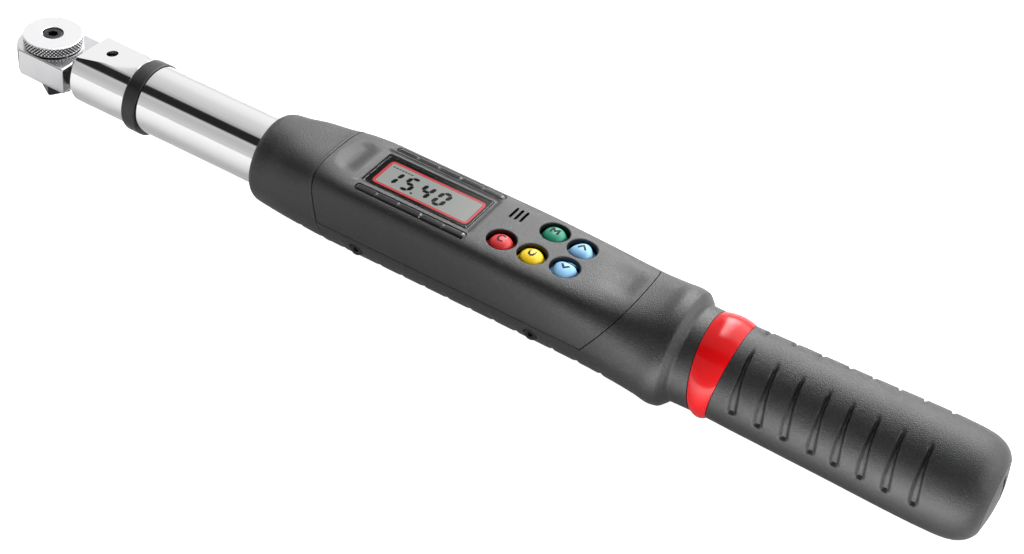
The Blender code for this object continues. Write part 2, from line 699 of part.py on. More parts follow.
def housing_cavity():
    """Inner space of the housing."""
    xs = [CAVITY_FRONT_X, 135.0, 146.0, 157.0, 215.0, 241.0, 258.0, 270.0, CAVITY_REAR_X]
    return loft("cavity", [housing_ring(x, WALL, 0.0) for x in xs])


def seam_block(grow):
    """The block above the side seams and between the two slanting cross seams."""
    low = AXIS_Z + SEAM_Z - grow
    high = AXIS_Z + 30.0
    top = AXIS_Z + PANEL_TOP
    front = (COVER_FRONT_SIDE_X - COVER_FRONT_TOP_X) / (top - low)
    rear = (COVER_REAR_TOP_X - COVER_REAR_SIDE_X) / (top - low)
    outline = [
        (COVER_FRONT_SIDE_X - grow, low),
        (COVER_REAR_SIDE_X + grow, low),
        (COVER_REAR_TOP_X + rear * (high - top) + grow, high),
        (COVER_FRONT_TOP_X - front * (high - top) - grow, high),
    ]
    return prism("seam_block", outline, "xz", -40.0, 40.0)


def build_housing(mats):
    """Lower housing with front sleeve and neck, and the cover above it."""
    lower = housing_outer("lower_housing", RIB_CENTRES, mats["housing_plastic"])
    front_bore = turned_x("front_bore", [(100.0, TUBE_RADIUS + GAP), (130.0, TUBE_RADIUS + GAP)], 48)
    rear_bore = turned_x("rear_bore", [(280.0, HANDLE_TUBE_RADIUS + GAP), (310.0, HANDLE_TUBE_RADIUS + GAP)], 48)
    cut(lower, housing_cavity(), seam_block(0.12), front_bore, rear_bore, ring_block(GAP, 40.0))
    posts = []
    for x in (154.6, 262.8):
        posts.append(turned_z("post", [(AXIS_Z - 19.6, 2.8), (AXIS_Z + BOARD_BOTTOM - 0.2, 2.8)], (x, 0.0), 16))
    join(lower, *posts)
    for x in (154.6, 262.8):
        cut(lower, turned_z("hole", [(AXIS_Z - 4.0, 1.2), (AXIS_Z + 10.0, 1.2)], (x, 0.0), 12))
    for x in SCREW_XS:
        for side in (-1.0, 1.0):
            outer = rod_y("outer", x, AXIS_Z + SCREW_DROP, 2.9, *sorted((side * 17.4, side * 24.0)), 20)
            inner = rod_y("inner", x, AXIS_Z + SCREW_DROP, 1.6, *sorted((side * 14.0, side * 20.0)), 14)
            cut(lower, outer, inner)
    build_cover(mats)


def build_cover(mats):
    """Cover with its windows, button holes, sound slots and screw lugs."""
    cover = housing_outer("top_cover", (), mats["housing_plastic"])
    cut(cover, housing_cavity())
    combine(cover, seam_block(-0.12), "INTERSECT")
    for x in SCREW_XS:
        for side in (-1.0, 1.0):
            upper = box("lug", x - 4.0, x + 4.0, *sorted((side * 12.0, side * 19.2)), AXIS_Z - 2.6, AXIS_Z + 3.0)
            lower = box("lug", x - 4.0, x + 4.0, *sorted((side * 12.0, side * 14.7)), AXIS_Z - 10.8, AXIS_Z - 2.0)
            join(upper, lower)
            join(cover, upper)
            hole = rod_y("hole", x, AXIS_Z + SCREW_DROP, 1.5, *sorted((side * 11.0, side * 17.0)), 14)
            cut(cover, hole)
    top = AXIS_Z + PANEL_TOP + 3.0
    recess = box("recess", LENS_FRONT_X - GAP, LENS_REAR_X + GAP, -LENS_HALF_WIDTH - GAP, LENS_HALF_WIDTH + GAP,
                 AXIS_Z + LENS_BOTTOM - 0.2, top)
    window = box("window", LENS_FRONT_X + 2.0, LENS_REAR_X - 2.0, -8.6, 8.6, AXIS_Z + 10.0, top)
    cut(cover, recess, window)
    for side in (-1.0, 1.0):
        trough = turned_x("trough", bar_profile(GAP), 20, None, (side * BAR_Y, AXIS_Z + BAR_HEIGHT))
        cut(cover, trough)
    for x, y, _ in BUTTON_PLACES.values():
        cut(cover, turned_z("hole", [(AXIS_Z + 10.0, BUTTON_HOLE_RADIUS), (top, BUTTON_HOLE_RADIUS)], (x, y), 28))
    for x in SLOT_XS:
        cut(cover, box("slot", x - 0.55, x + 0.55, SLOT_Y0, SLOT_Y1, AXIS_Z + 10.0, top))


def bar_profile(grow):
    """Round strip with rounded ends, as (x, radius) pairs."""
    radius = BAR_RADIUS + grow
    return [
        (BAR_FRONT_X - grow, radius * 0.45), (BAR_FRONT_X + 0.7, radius * 0.85), (BAR_FRONT_X + 2.0, radius),
        (BAR_REAR_X - 2.0, radius), (BAR_REAR_X - 0.7, radius * 0.85), (BAR_REAR_X + grow, radius * 0.45),
    ]


def build_display(mats):
    """Lens, display panel and its holder, light bars, light strips and buzzer."""
    box("display_lens", LENS_FRONT_X, LENS_REAR_X, -LENS_HALF_WIDTH, LENS_HALF_WIDTH,
        AXIS_Z + LENS_BOTTOM, AXIS_Z + PANEL_TOP + 0.1, mats["lens_glass"])
    box("lcd_panel", 159.4, 199.8, -8.2, 8.2, AXIS_Z + 13.4, AXIS_Z + 15.6, mats["lcd_glass"])
    holder = box("lcd_holder", 158.4, 200.8, -9.4, 9.4, AXIS_Z + BOARD_TOP + 0.2, AXIS_Z + 14.4, mats["white_plastic"])
    seat = box("seat", 159.1, 200.1, -8.5, 8.5, AXIS_Z + 13.1, AXIS_Z + 20.0)
    inside = box("inside", 161.0, 198.2, -6.8, 6.8, AXIS_Z, AXIS_Z + 20.0)
    cut(holder, seat, inside)
    for name, side in (("near", -1.0), ("far", 1.0)):
        centre = (side * BAR_Y, AXIS_Z + BAR_HEIGHT)
        turned_x("light_bar_" + name, bar_profile(0.0), 20, mats["black_plastic"], centre)
        low, high = sorted((side * 12.2, side * 14.6))
        strip = box("led_strip_" + name, 158.6, 203.4, low, high, AXIS_Z + BOARD_TOP + 0.2, AXIS_Z + 8.6,
                    mats["white_plastic"])
        for k in range(5):
            x = 163.0 + 9.0 * k
            join(strip, box("led", x - 1.2, x + 1.2, low + 0.4, high - 0.4, AXIS_Z + 8.0, AXIS_Z + 9.8))
    turned_z("buzzer", [(AXIS_Z + BOARD_TOP + 0.2, 5.0), (AXIS_Z + 11.4, 5.0), (AXIS_Z + 11.8, 4.5)],
             (BUZZER_X, BUZZER_Y), 28, mats["black_plastic"])


def build_keypad(mats):
    """Circuit board, elastomer mat, five buttons and the board screws."""
    board = box("circuit_board", BOARD_FRONT_X, BOARD_REAR_X, -BOARD_HALF_WIDTH, BOARD_HALF_WIDTH,
                AXIS_Z + BOARD_BOTTOM, AXIS_Z + BOARD_TOP, mats["board_green"])
    for name, x in (("board_screw_front", 154.6), ("board_screw_rear", 262.8)):
        cut(board, turned_z("hole", [(AXIS_Z, 1.3), (AXIS_Z + 10.0, 1.3)], (x, 0.0), 12))
        screw = turned_z(name, [
            (AXIS_Z - 2.0, 0.9), (AXIS_Z + BOARD_TOP + 0.2, 0.9), (AXIS_Z + BOARD_TOP + 0.21, 2.2),
            (AXIS_Z + BOARD_TOP + 1.2, 2.2), (AXIS_Z + BOARD_TOP + 1.7, 1.6),
        ], (x, 0.0), 16, mats["spring_steel"])
        cut(screw, turned_z("hex", [(AXIS_Z + BOARD_TOP + 0.8, 0.9), (AXIS_Z + BOARD_TOP + 3.0, 0.9)], (x, 0.0), 6))
    outline = [(209.6, -13.8), (248.6, -13.8), (248.6, 14.4), (222.0, 14.4), (222.0, 1.0), (209.6, 1.0)]
    prism("keypad_mat", outline, "xy", AXIS_Z + BOARD_TOP + 0.2, AXIS_Z + 8.6, mats["rubber"])
    for name, (x, y, finish) in BUTTON_PLACES.items():
        button = turned_z(name, [
            (AXIS_Z + 9.9, 2.2), (AXIS_Z + 12.2, 2.2), (AXIS_Z + 12.21, BUTTON_FLANGE_RADIUS),
            (AXIS_Z + 13.3, BUTTON_FLANGE_RADIUS), (AXIS_Z + 13.31, BUTTON_CAP_RADIUS),
            (AXIS_Z + 16.9, BUTTON_CAP_RADIUS), (AXIS_Z + 17.4, 4.4), (AXIS_Z + 17.8, 2.4),
        ], (x, y), 22, mats[finish])
        set_origin(button, (x, y, AXIS_Z + 9.9))


def build_screws(mats):
    """Four screws that hold the two housing shells together."""
    for place, x in (("front", SCREW_XS[0]), ("rear", SCREW_XS[1])):
        for name, side in (("near", -1.0), ("far", 1.0)):
            z = AXIS_Z + SCREW_DROP
            shank = rod_y("shank", x, z, 1.2, *sorted((side * 11.4, side * 17.9)), 12)
            screw = rod_y("housing_screw_" + place + "_" + name, x, z, 2.6, *sorted((side * 17.6, side * 18.7)), 20,
                          mats["spring_steel"])
            join(screw, shank)
            cut(screw, rod_y("hex", x, z, 1.2, *sorted((side * 18.0, side * 20.0)), 6))


def ring_block(grow, half):
    """Slanting block that bounds the coloured ring, wider at the top than below."""
    low = AXIS_Z - 25.0
    high = AXIS_Z + 25.0
    lean = (RING_FRONT_BOTTOM_X - RING_FRONT_TOP_X) / (2.0 * RING_RADIUS)
    tail = (RING_REAR_TOP_X - RING_REAR_BOTTOM_X) / (2.0 * RING_RADIUS)
    extra = 25.0 - RING_RADIUS
    outline = [
        (RING_FRONT_BOTTOM_X + lean * extra - grow, low),
        (RING_REAR_BOTTOM_X - tail * extra + grow, low),
        (RING_REAR_TOP_X + tail * extra + grow, high),
        (RING_FRONT_TOP_X - lean * extra - grow, high),
    ]
    return prism("ring_block", outline, "xz", -half, half)


def grip_radius(x, angle, groove):
    """Radius of the grip: a slow swell with finger grooves on both upper flanks."""
    table = np.array(GRIP_PROFILE)
    radius = float(np.interp(x, table[:, 0], table[:, 1]))
    height = math.sin(angle)
    top = min(1.0, max(0.0, (0.93 - height) / 0.12))
    bottom = min(1.0, max(0.0, (height + 0.12) / 0.12))
    return radius - groove * GRIP_GROOVE_DEPTH * top * bottom


def build_handle(mats):
    """Handle tube, coloured ring and grip sleeve."""
    ring_x("handle_tube", [
        (HANDLE_TUBE_FRONT_X, HANDLE_BORE_RADIUS), (HANDLE_TUBE_FRONT_X, HANDLE_TUBE_RADIUS),
        (HANDLE_TUBE_REAR_X, HANDLE_TUBE_RADIUS), (HANDLE_TUBE_REAR_X, HANDLE_BORE_RADIUS),
    ], 48, mats["spring_steel"])
    inner = HANDLE_TUBE_RADIUS + GAP
    band = ring_x("red_ring", [
        (290.0, inner), (290.0, 18.9), (299.0, 19.3), (303.5, RING_RADIUS), (307.5, 19.3), (318.0, 18.6),
        (318.0, inner),
    ], 44, mats["red_gloss"])
    combine(band, ring_block(0.0, 40.0), "INTERSECT")
    stations = {x: 0.0 for x, _ in GRIP_PROFILE}
    for centre in GRIP_GROOVE_XS:
        for offset, share in ((-1.0, 0.0), (-0.35, 1.0), (0.35, 1.0), (1.0, 0.0)):
            stations[centre + offset * GRIP_GROOVE_HALF_WIDTH] = share
    rings = []
    for x in sorted(stations):
        ring = []
        for i in range(GRIP_AROUND):
            angle = 2.0 * math.pi * i / GRIP_AROUND
            radius = grip_radius(x, angle, stations[x])
            ring.append((x, radius * math.cos(angle), AXIS_Z + radius * math.sin(angle)))
        rings.append(ring)
    grip = loft("grip_sleeve", rings, mats["grip_plastic"])
    bore = turned_x("bore", [(290.0, inner), (HANDLE_TUBE_REAR_X + GAP, inner)], 48)
    hole = turned_x("hole", [(390.0, CAP_HOLE_RADIUS), (415.0, CAP_HOLE_RADIUS)], 48)
    front = ring_block(GAP, 40.0)
    ahead = box("ahead", 280.0, 304.5, -40.0, 40.0, -20.0, 60.0)
    cut(grip, bore, hole, front, ahead)


def build_battery(mats):
    """Battery tube, two cells, contacts, screw cap and its seal."""
    ring_x("battery_tube", [
        (280.0, BATTERY_RADIUS + 0.35), (280.0, 13.3), (283.0, 13.3), (283.0, 9.0), (387.0, 9.0), (387.0, 13.3),
        (390.0, 13.3), (390.0, BATTERY_RADIUS + 0.35),
    ], 32, mats["black_plastic"])
    turned_x("contact_plate", [(278.4, 11.0), (279.7, 11.0)], 28, mats["brass"])
    coil("contact_spring", (279.9, 0.0, AXIS_Z), (1.0, 0.0, 0.0), BATTERY_FRONT_X - 280.1, 3.6, 0.35, 4,
         mats["spring_steel"])
    for name, start in (("battery_front", BATTERY_FRONT_X), ("battery_rear", BATTERY_FRONT_X + BATTERY_LENGTH + GAP)):
        turned_x(name, [
            (start, BATTERY_RADIUS - 0.5), (start + 0.5, BATTERY_RADIUS), (start + 48.6, BATTERY_RADIUS),
            (start + 49.0, BATTERY_RADIUS - 0.6), (start + 49.2, 2.7), (start + BATTERY_LENGTH, 2.7),
        ], 22, mats["battery_wrap"])
    cap = turned_x("battery_cap", [
        (389.7, 3.0), (391.4, 3.0), (391.41, 12.9), (400.0, 12.9), (400.01, 11.7), (402.4, 11.7),
        (402.41, CAP_RADIUS), (CAP_RIM_X, CAP_RADIUS), (407.5, 9.6), (CAP_CENTRE_X, 5.0),
    ], 40, mats["grip_plastic"])
    cut(cap, box("slot", 405.6, 412.0, -1.0, 1.0, AXIS_Z - 9.0, AXIS_Z + 9.0))
    set_origin(cap, (CAP_RIM_X, 0.0, AXIS_Z))
    profile = [(401.2 + 0.75 * math.cos(2.0 * math.pi * k / 6), 12.5 + 0.65 * math.sin(2.0 * math.pi * k / 6))
               for k in range(6)]
    ring_x("cap_seal", profile, 28, mats["rubber"])


def finish_shading():
    """Smooth the round faces and keep the real edges sharp."""
    for item in bpy.data.objects:
        item.data.shade_smooth()
        item.data.set_sharp_from_angle(angle=math.radians(32.0))


def main():
    """Build every piece of the wrench."""
    clear_scene()
    mats = make_materials()
    build_head(mats)
    build_drive(mats)
    build_detent(mats)
    build_pawl(mats)
    build_disc(mats)
    build_catch(mats)
    build_holder(mats)
    build_tube(mats)
    build_housing(mats)
    build_display(mats)
    build_keypad(mats)
    build_screws(mats)
    build_handle(mats)
    build_battery(mats)
    finish_shading()


main()
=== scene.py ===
"""Electronic torque wrench: seen surfaces, finishes, studio and camera.

Lengths are millimetres in the frame's own axes: +X runs from the square drive to
the end of the grip and +Z points up out of the display. The long axis of the
wrench lies AXIS above the origin.
"""

import logging
import math
from dataclasses import dataclass
from enum import Enum

import bpy
import numpy as np
from mathutils import Matrix


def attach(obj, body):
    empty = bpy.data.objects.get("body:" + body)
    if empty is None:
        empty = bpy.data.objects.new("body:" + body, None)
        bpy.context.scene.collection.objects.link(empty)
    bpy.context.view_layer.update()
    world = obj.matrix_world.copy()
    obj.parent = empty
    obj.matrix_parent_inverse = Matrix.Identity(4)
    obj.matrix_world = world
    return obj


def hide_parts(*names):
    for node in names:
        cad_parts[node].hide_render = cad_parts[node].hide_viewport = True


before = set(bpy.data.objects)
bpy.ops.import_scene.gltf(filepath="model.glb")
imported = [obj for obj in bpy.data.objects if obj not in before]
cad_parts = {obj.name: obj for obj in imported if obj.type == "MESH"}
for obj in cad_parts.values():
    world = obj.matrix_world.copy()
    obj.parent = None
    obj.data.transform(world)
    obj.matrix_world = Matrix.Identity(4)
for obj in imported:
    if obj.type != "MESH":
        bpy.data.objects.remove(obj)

MM = 0.001
AXIS = 18.9
SHARP_DEG = 30.0
LOG = logging.getLogger("wrench")

Array = np.ndarray
Colour = tuple[float, float, float]


class Turn(Enum):
    """Direction of the axis a profile is turned about."""

    ALONG = "x"
    ACROSS = "y"
    UPRIGHT = "z"


class Cut(Enum):
    """What a boolean keeps."""

    TAKE = "DIFFERENCE"
    JOIN = "UNION"
    KEEP = "INTERSECT"


# ---------------------------------------------------------------- numbers


def ease(value: Array, low: float, high: float) -> Array:
    """Smooth step from 0 at low to 1 at high; it runs down when high is below low."""
    t = np.clip((np.asarray(value, float) - low) / (high - low), 0.0, 1.0)
    return t * t * (3.0 - 2.0 * t)


def flow(x: Array, xs: Array, ys: Array) -> Array:
    """Monotone cubic curve through points.

    The slope at each inner point is the harmonic mean of the slopes on its two
    sides, or zero where they differ in sign, so the curve never overshoots.

    Args:
        x: where to read the curve.
        xs: rising positions of the points.
        ys: heights of the points.

    Returns:
        The heights at x.
    """
    step = np.diff(xs)
    slope = np.diff(ys) / step
    same = slope[:-1] * slope[1:] > 0.0
    mean = np.where(same, 2.0 * slope[:-1] * slope[1:] / np.where(same, slope[:-1] + slope[1:], 1.0), 0.0)
    rate = np.concatenate([slope[:1], mean, slope[-1:]])
    i = np.clip(np.searchsorted(xs, x) - 1, 0, len(step) - 1)
    t = np.clip((x - xs[i]) / step[i], 0.0, 1.0)
    low = ys[i] * (1 + 2 * t) * (1 - t) ** 2 + rate[i] * step[i] * t * (1 - t) ** 2
    return low + ys[i + 1] * t * t * (3 - 2 * t) + rate[i + 1] * step[i] * t * t * (t - 1)


def rows(*stops: float, step: float) -> Array:
    """Rising positions through every stop with at most the given step between them."""
    parts = [np.linspace(a, b, max(1, math.ceil((b - a) / step)), endpoint=False) for a, b in zip(stops, stops[1:])]
    return np.concatenate([*parts, stops[-1:]])


def fillet(corners: Array, radii: float | Array, closed: bool, steps: int = 6) -> Array:
    """Outline with its corners eased.

    Each corner is replaced by a quadratic curve between the points one radius
    away from it along both sides: (1-t)^2 A + 2t(1-t) corner + t^2 B.

    Args:
        corners: (n, 2) corner points in order.
        radii: one distance, or one for each corner.
        closed: whether the outline runs back to its start.
        steps: points on each eased corner.

    Returns:
        (m, 2) points, with no two alike in a row.
    """
    p = np.asarray(corners, float)
    r = np.broadcast_to(np.asarray(radii, float), (len(p),)).copy()
    if not closed:
        r[[0, -1]] = 0.0
    before, after = np.roll(p, 1, 0) - p, np.roll(p, -1, 0) - p
    a = p + before * (r / np.linalg.norm(before, axis=1))[:, None]
    b = p + after * (r / np.linalg.norm(after, axis=1))[:, None]
    t = np.linspace(0.0, 1.0, steps)[None, :, None]
    q = ((1 - t) ** 2 * a[:, None] + 2 * t * (1 - t) * p[:, None] + t**2 * b[:, None]).reshape(-1, 2)
    return q[np.linalg.norm(q - np.roll(q, 1, 0), axis=1) > 1e-6]


def circle(count: int) -> Array:
    """Evenly spaced angles of a full turn."""
    return np.arange(count) * (2.0 * math.pi / count)


# ---------------------------------------------------------------- surfaces


@dataclass
class Shape:
    """A closed surface in millimetres.

    Attributes:
        points: (n, 3) positions.
        faces: index arrays, each (m, k) for m faces of k corners.
    """

    points: Array
    faces: list[Array]

    def outward(self) -> "Shape":
        """The same surface with its faces turned out, by the sign of the enclosed volume.

        Returns:
            The surface, itself where it is right already.
        """
        volume = 0.0
        for face in self.faces:
            p = self.points[face]
            volume += float(np.einsum("ij,ikj->", p[:, 0], np.cross(p[:, 1:-1], p[:, 2:])))
        return self if volume > 0.0 else Shape(self.points, [face[:, ::-1] for face in self.faces])

    def plus(self, *others: "Shape") -> "Shape":
        """This surface and the others as one mesh, not fused.

        Args:
            others: the surfaces to add.

        Returns:
            The joined surface.
        """
        points, faces, count = [self.points], list(self.faces), len(self.points)
        for other in others:
            points.append(other.points)
            faces += [face + count for face in other.faces]
            count += len(other.points)
        return Shape(np.concatenate(points), faces)

    def turned(self, degrees: float) -> "Shape":
        """The surface turned about the upright axis through the origin.

        Args:
            degrees: turn, counter-clockwise seen from above where it is positive.

        Returns:
            The turned surface.
        """
        a = math.radians(degrees)
        spin = np.array([[math.cos(a), math.sin(a), 0.0], [-math.sin(a), math.cos(a), 0.0], [0.0, 0.0, 1.0]])
        return Shape(self.points @ spin, self.faces)

    def build(self, name: str) -> bpy.types.Object:
        """Mesh object of the surface.

        Args:
            name: name of the object and its mesh.

        Returns:
            The object, linked to the scene, with smooth faces and sharp real edges.
        """
        mesh = bpy.data.meshes.new(name)
        totals = np.concatenate([np.full(len(face), face.shape[1]) for face in self.faces])
        loops = np.concatenate([face.ravel() for face in self.faces]).astype(np.int32)
        starts = np.concatenate([[0], np.cumsum(totals)[:-1]]).astype(np.int32)
        mesh.vertices.add(len(self.points))
        mesh.vertices.foreach_set("co", (self.points * MM).astype(np.float32).ravel())
        mesh.loops.add(len(loops))
        mesh.loops.foreach_set("vertex_index", loops)
        mesh.polygons.add(len(totals))
        mesh.polygons.foreach_set("loop_start", starts)
        mesh.update(calc_edges=True)
        mesh.validate()
        piece = bpy.data.objects.new(name, mesh)
        bpy.context.scene.collection.objects.link(piece)
        return soften(piece)


def soften(piece: bpy.types.Object, degrees: float = SHARP_DEG) -> bpy.types.Object:
    """Smooth shading with the edges above the given angle kept sharp.

    Args:
        piece: the object.
        degrees: smallest angle of a sharp edge.

    Returns:
        The same object.
    """
    piece.data.shade_smooth()
    piece.data.set_sharp_from_angle(angle=math.radians(degrees))
    return piece


def skin(rings: Array, closed: bool = False) -> Shape:
    """Surface through rings of equal point count.

    Args:
        rings: (rows, columns, 3) points; each row is a closed ring.
        closed: whether the last ring joins the first; otherwise both ends get a flat face.

    Returns:
        The closed surface, faces outward.
    """
    index = np.arange(rings.shape[0] * rings.shape[1]).reshape(rings.shape[:2])
    here, there = (index, np.roll(index, -1, 0)) if closed else (index[:-1], index[1:])
    quads = np.stack([here, np.roll(here, -1, 1), np.roll(there, -1, 1), there], -1).reshape(-1, 4)
    ends = [] if closed else [index[:1, ::-1], index[-1:]]
    return Shape(rings.reshape(-1, 3), [quads, *ends]).outward()


def lathe(
    profile: Array,
    turn: Turn,
    centre: tuple[float, float] = (0.0, AXIS),
    count: int = 96,
    closed: bool = False,
    start: float = 0.0,
) -> Shape:
    """Profile of (position, radius) pairs turned about an axis.

    Args:
        profile: (n, 2) pairs; a closed profile makes a ring, an open one a solid.
        turn: direction of the axis.
        centre: the two other coordinates of the axis, in the order x, y, z.
        count: points round the axis.
        closed: whether the profile closes on itself.
        start: angle of the first point.

    Returns:
        The surface.
    """
    profile = np.asarray(profile, float)
    angle = circle(count) + start
    level = np.repeat(profile[:, :1], count, 1)
    a = centre[0] + profile[:, 1:] * np.cos(angle)
    b = centre[1] + profile[:, 1:] * np.sin(angle)
    order = {Turn.ALONG: (level, a, b), Turn.ACROSS: (a, level, b), Turn.UPRIGHT: (a, b, level)}[turn]
    return skin(np.stack(order, -1), closed)


def slab(outline: Array, low: float, high: float, edge: float = 0.0, plane: str = "xy", steps: int = 4) -> Shape:
    """Outline pushed out between two levels, its upper and lower rims eased inwards.

    Args:
        outline: (n, 2) closed outline, convex where edge is used.
        low: lower level on the third axis.
        high: upper level.
        edge: size of the eased rims.
        plane: the two axes of the outline.
        steps: rings on each eased rim.

    Returns:
        The surface.
    """
    outline = np.asarray(outline, float)
    t = np.linspace(0.0, math.pi / 2.0, steps) if edge else np.zeros(1)
    inset = edge * np.concatenate([1 - np.sin(t), 1 - np.sin(t[::-1])])
    level = np.concatenate([low + edge * (1 - np.cos(t)), high - edge * (1 - np.cos(t[::-1]))])
    middle = (outline.max(0) + outline.min(0)) / 2.0
    half = (outline.max(0) - outline.min(0)) / 2.0
    flat = middle + (outline - middle)[None] * (1.0 - inset[:, None, None] / half)
    height = np.repeat(level[:, None, None], len(outline), 1)
    first, second = flat[..., :1], flat[..., 1:]
    order = {"xy": (first, second, height), "xz": (first, height, second), "yz": (height, first, second)}[plane]
    return skin(np.concatenate(order, -1))


def block(
    x: tuple[float, float],
    y: tuple[float, float],
    z: tuple[float, float],
    corner: float = 0.0,
    edge: float = 0.0,
) -> Shape:
    """Block between three ranges with eased upright corners and eased rims.

    Args:
        x: range along the wrench.
        y: range across it.
        z: range of height.
        corner: size of the eased corners.
        edge: size of the eased rims.

    Returns:
        The surface.
    """
    corners = [(x[0], y[0]), (x[1], y[0]), (x[1], y[1]), (x[0], y[1])]
    return slab(fillet(corners, corner, True), z[0], z[1], edge)


def ribbon(path: Array, width: float, low: Array, high: Array) -> Shape:
    """Thin raised line that follows a path in plan.

    The two edges of the line stand half a width to the left and right of the
    path, along the normal of the mean direction at each point.

    Args:
        path: (n, 2) points in plan.
        width: width of the line.
        low: height of its underside at each point.
        high: height of its top at each point.

    Returns:
        The surface.
    """
    step = np.gradient(path, axis=0)
    step /= np.linalg.norm(step, axis=1)[:, None]
    side = np.stack([-step[:, 1], step[:, 0]], 1) * width / 2.0
    left, right = path + side, path - side
    low, high = np.asarray(low, float)[:, None], np.asarray(high, float)[:, None]
    ring = np.stack([
        np.hstack([left, low]), np.hstack([right, low]), np.hstack([right, high]), np.hstack([left, high]),
    ], 1)
    return skin(ring)


def carve(piece: bpy.types.Object, how: Cut, *shapes: Shape) -> bpy.types.Object:
    """Apply exact booleans, one for each shape, and shade the result.

    Args:
        piece: the object to change.
        how: what to keep.
        shapes: the other bodies.

    Returns:
        The same object with its new mesh.
    """
    tools = [shape.build("tool") for shape in shapes]
    for tool in tools:
        step = piece.modifiers.new("step", "BOOLEAN")
        step.operation, step.solver, step.object = how.value, "EXACT", tool
    graph = bpy.context.evaluated_depsgraph_get()
    graph.update()
    mesh = bpy.data.meshes.new_from_object(piece.evaluated_get(graph))
    piece.modifiers.clear()
    old, piece.data = piece.data, mesh
    mesh.name = piece.name
    bpy.data.meshes.remove(old)
    for tool in tools:
        bpy.data.meshes.remove(tool.data)
    return soften(piece)


# ---------------------------------------------------------------- finishes


class Tree:
    """Short way to fill a node tree."""

    def __init__(self, tree: bpy.types.NodeTree) -> None:
        """Keep the tree and clear it."""
        self.tree = tree
        tree.nodes.clear()

    def add(self, kind: str, inputs: dict | None = None, **settings: object) -> bpy.types.Node:
        """New node.

        Args:
            kind: node type without the ShaderNode prefix, or a full type name.
            inputs: values or sockets for its inputs, by name or number.
            settings: properties of the node.

        Returns:
            The node.
        """
        name = kind if kind.startswith("NodeGroup") else "ShaderNode" + kind
        made = self.tree.nodes.new(name)
        for key, value in settings.items():
            setattr(made, key, value)
        for key, value in (inputs or {}).items():
            if isinstance(value, bpy.types.NodeSocket):
                self.tree.links.new(value, made.inputs[key])
            else:
                made.inputs[key].default_value = value
        return made

    def maths(self, operation: str, *values: object) -> bpy.types.NodeSocket:
        """Result of a math node."""
        return self.add("Math", dict(enumerate(values)), operation=operation).outputs[0]

    def span(
        self,
        value: object,
        low: float,
        high: float,
        to_low: float = 0.0,
        to_high: float = 1.0,
        smooth: bool = False,
    ) -> bpy.types.NodeSocket:
        """Value carried from one range to another, kept inside it.

        Args:
            value: number or socket.
            low: start of the first range.
            high: end of the first range.
            to_low: start of the second range.
            to_high: end of the second range.
            smooth: whether the change is eased.

        Returns:
            The result.
        """
        kind = "SMOOTHSTEP" if smooth else "LINEAR"
        inputs = {"Value": value, "From Min": low, "From Max": high, "To Min": to_low, "To Max": to_high}
        return self.add("MapRange", inputs, interpolation_type=kind).outputs["Result"]

    def blend(self, factor: object, first: object, second: object) -> bpy.types.NodeSocket:
        """Mix of two colours."""
        made = self.add("Mix", {0: factor, 6: first, 7: second}, data_type="RGBA")
        return made.outputs[2]


def rgba(colour: Colour, gain: float = 1.0) -> tuple[float, float, float, float]:
    """Colour with full alpha, brightened by a gain."""
    return (min(1.0, colour[0] * gain), min(1.0, colour[1] * gain), min(1.0, colour[2] * gain), 1.0)


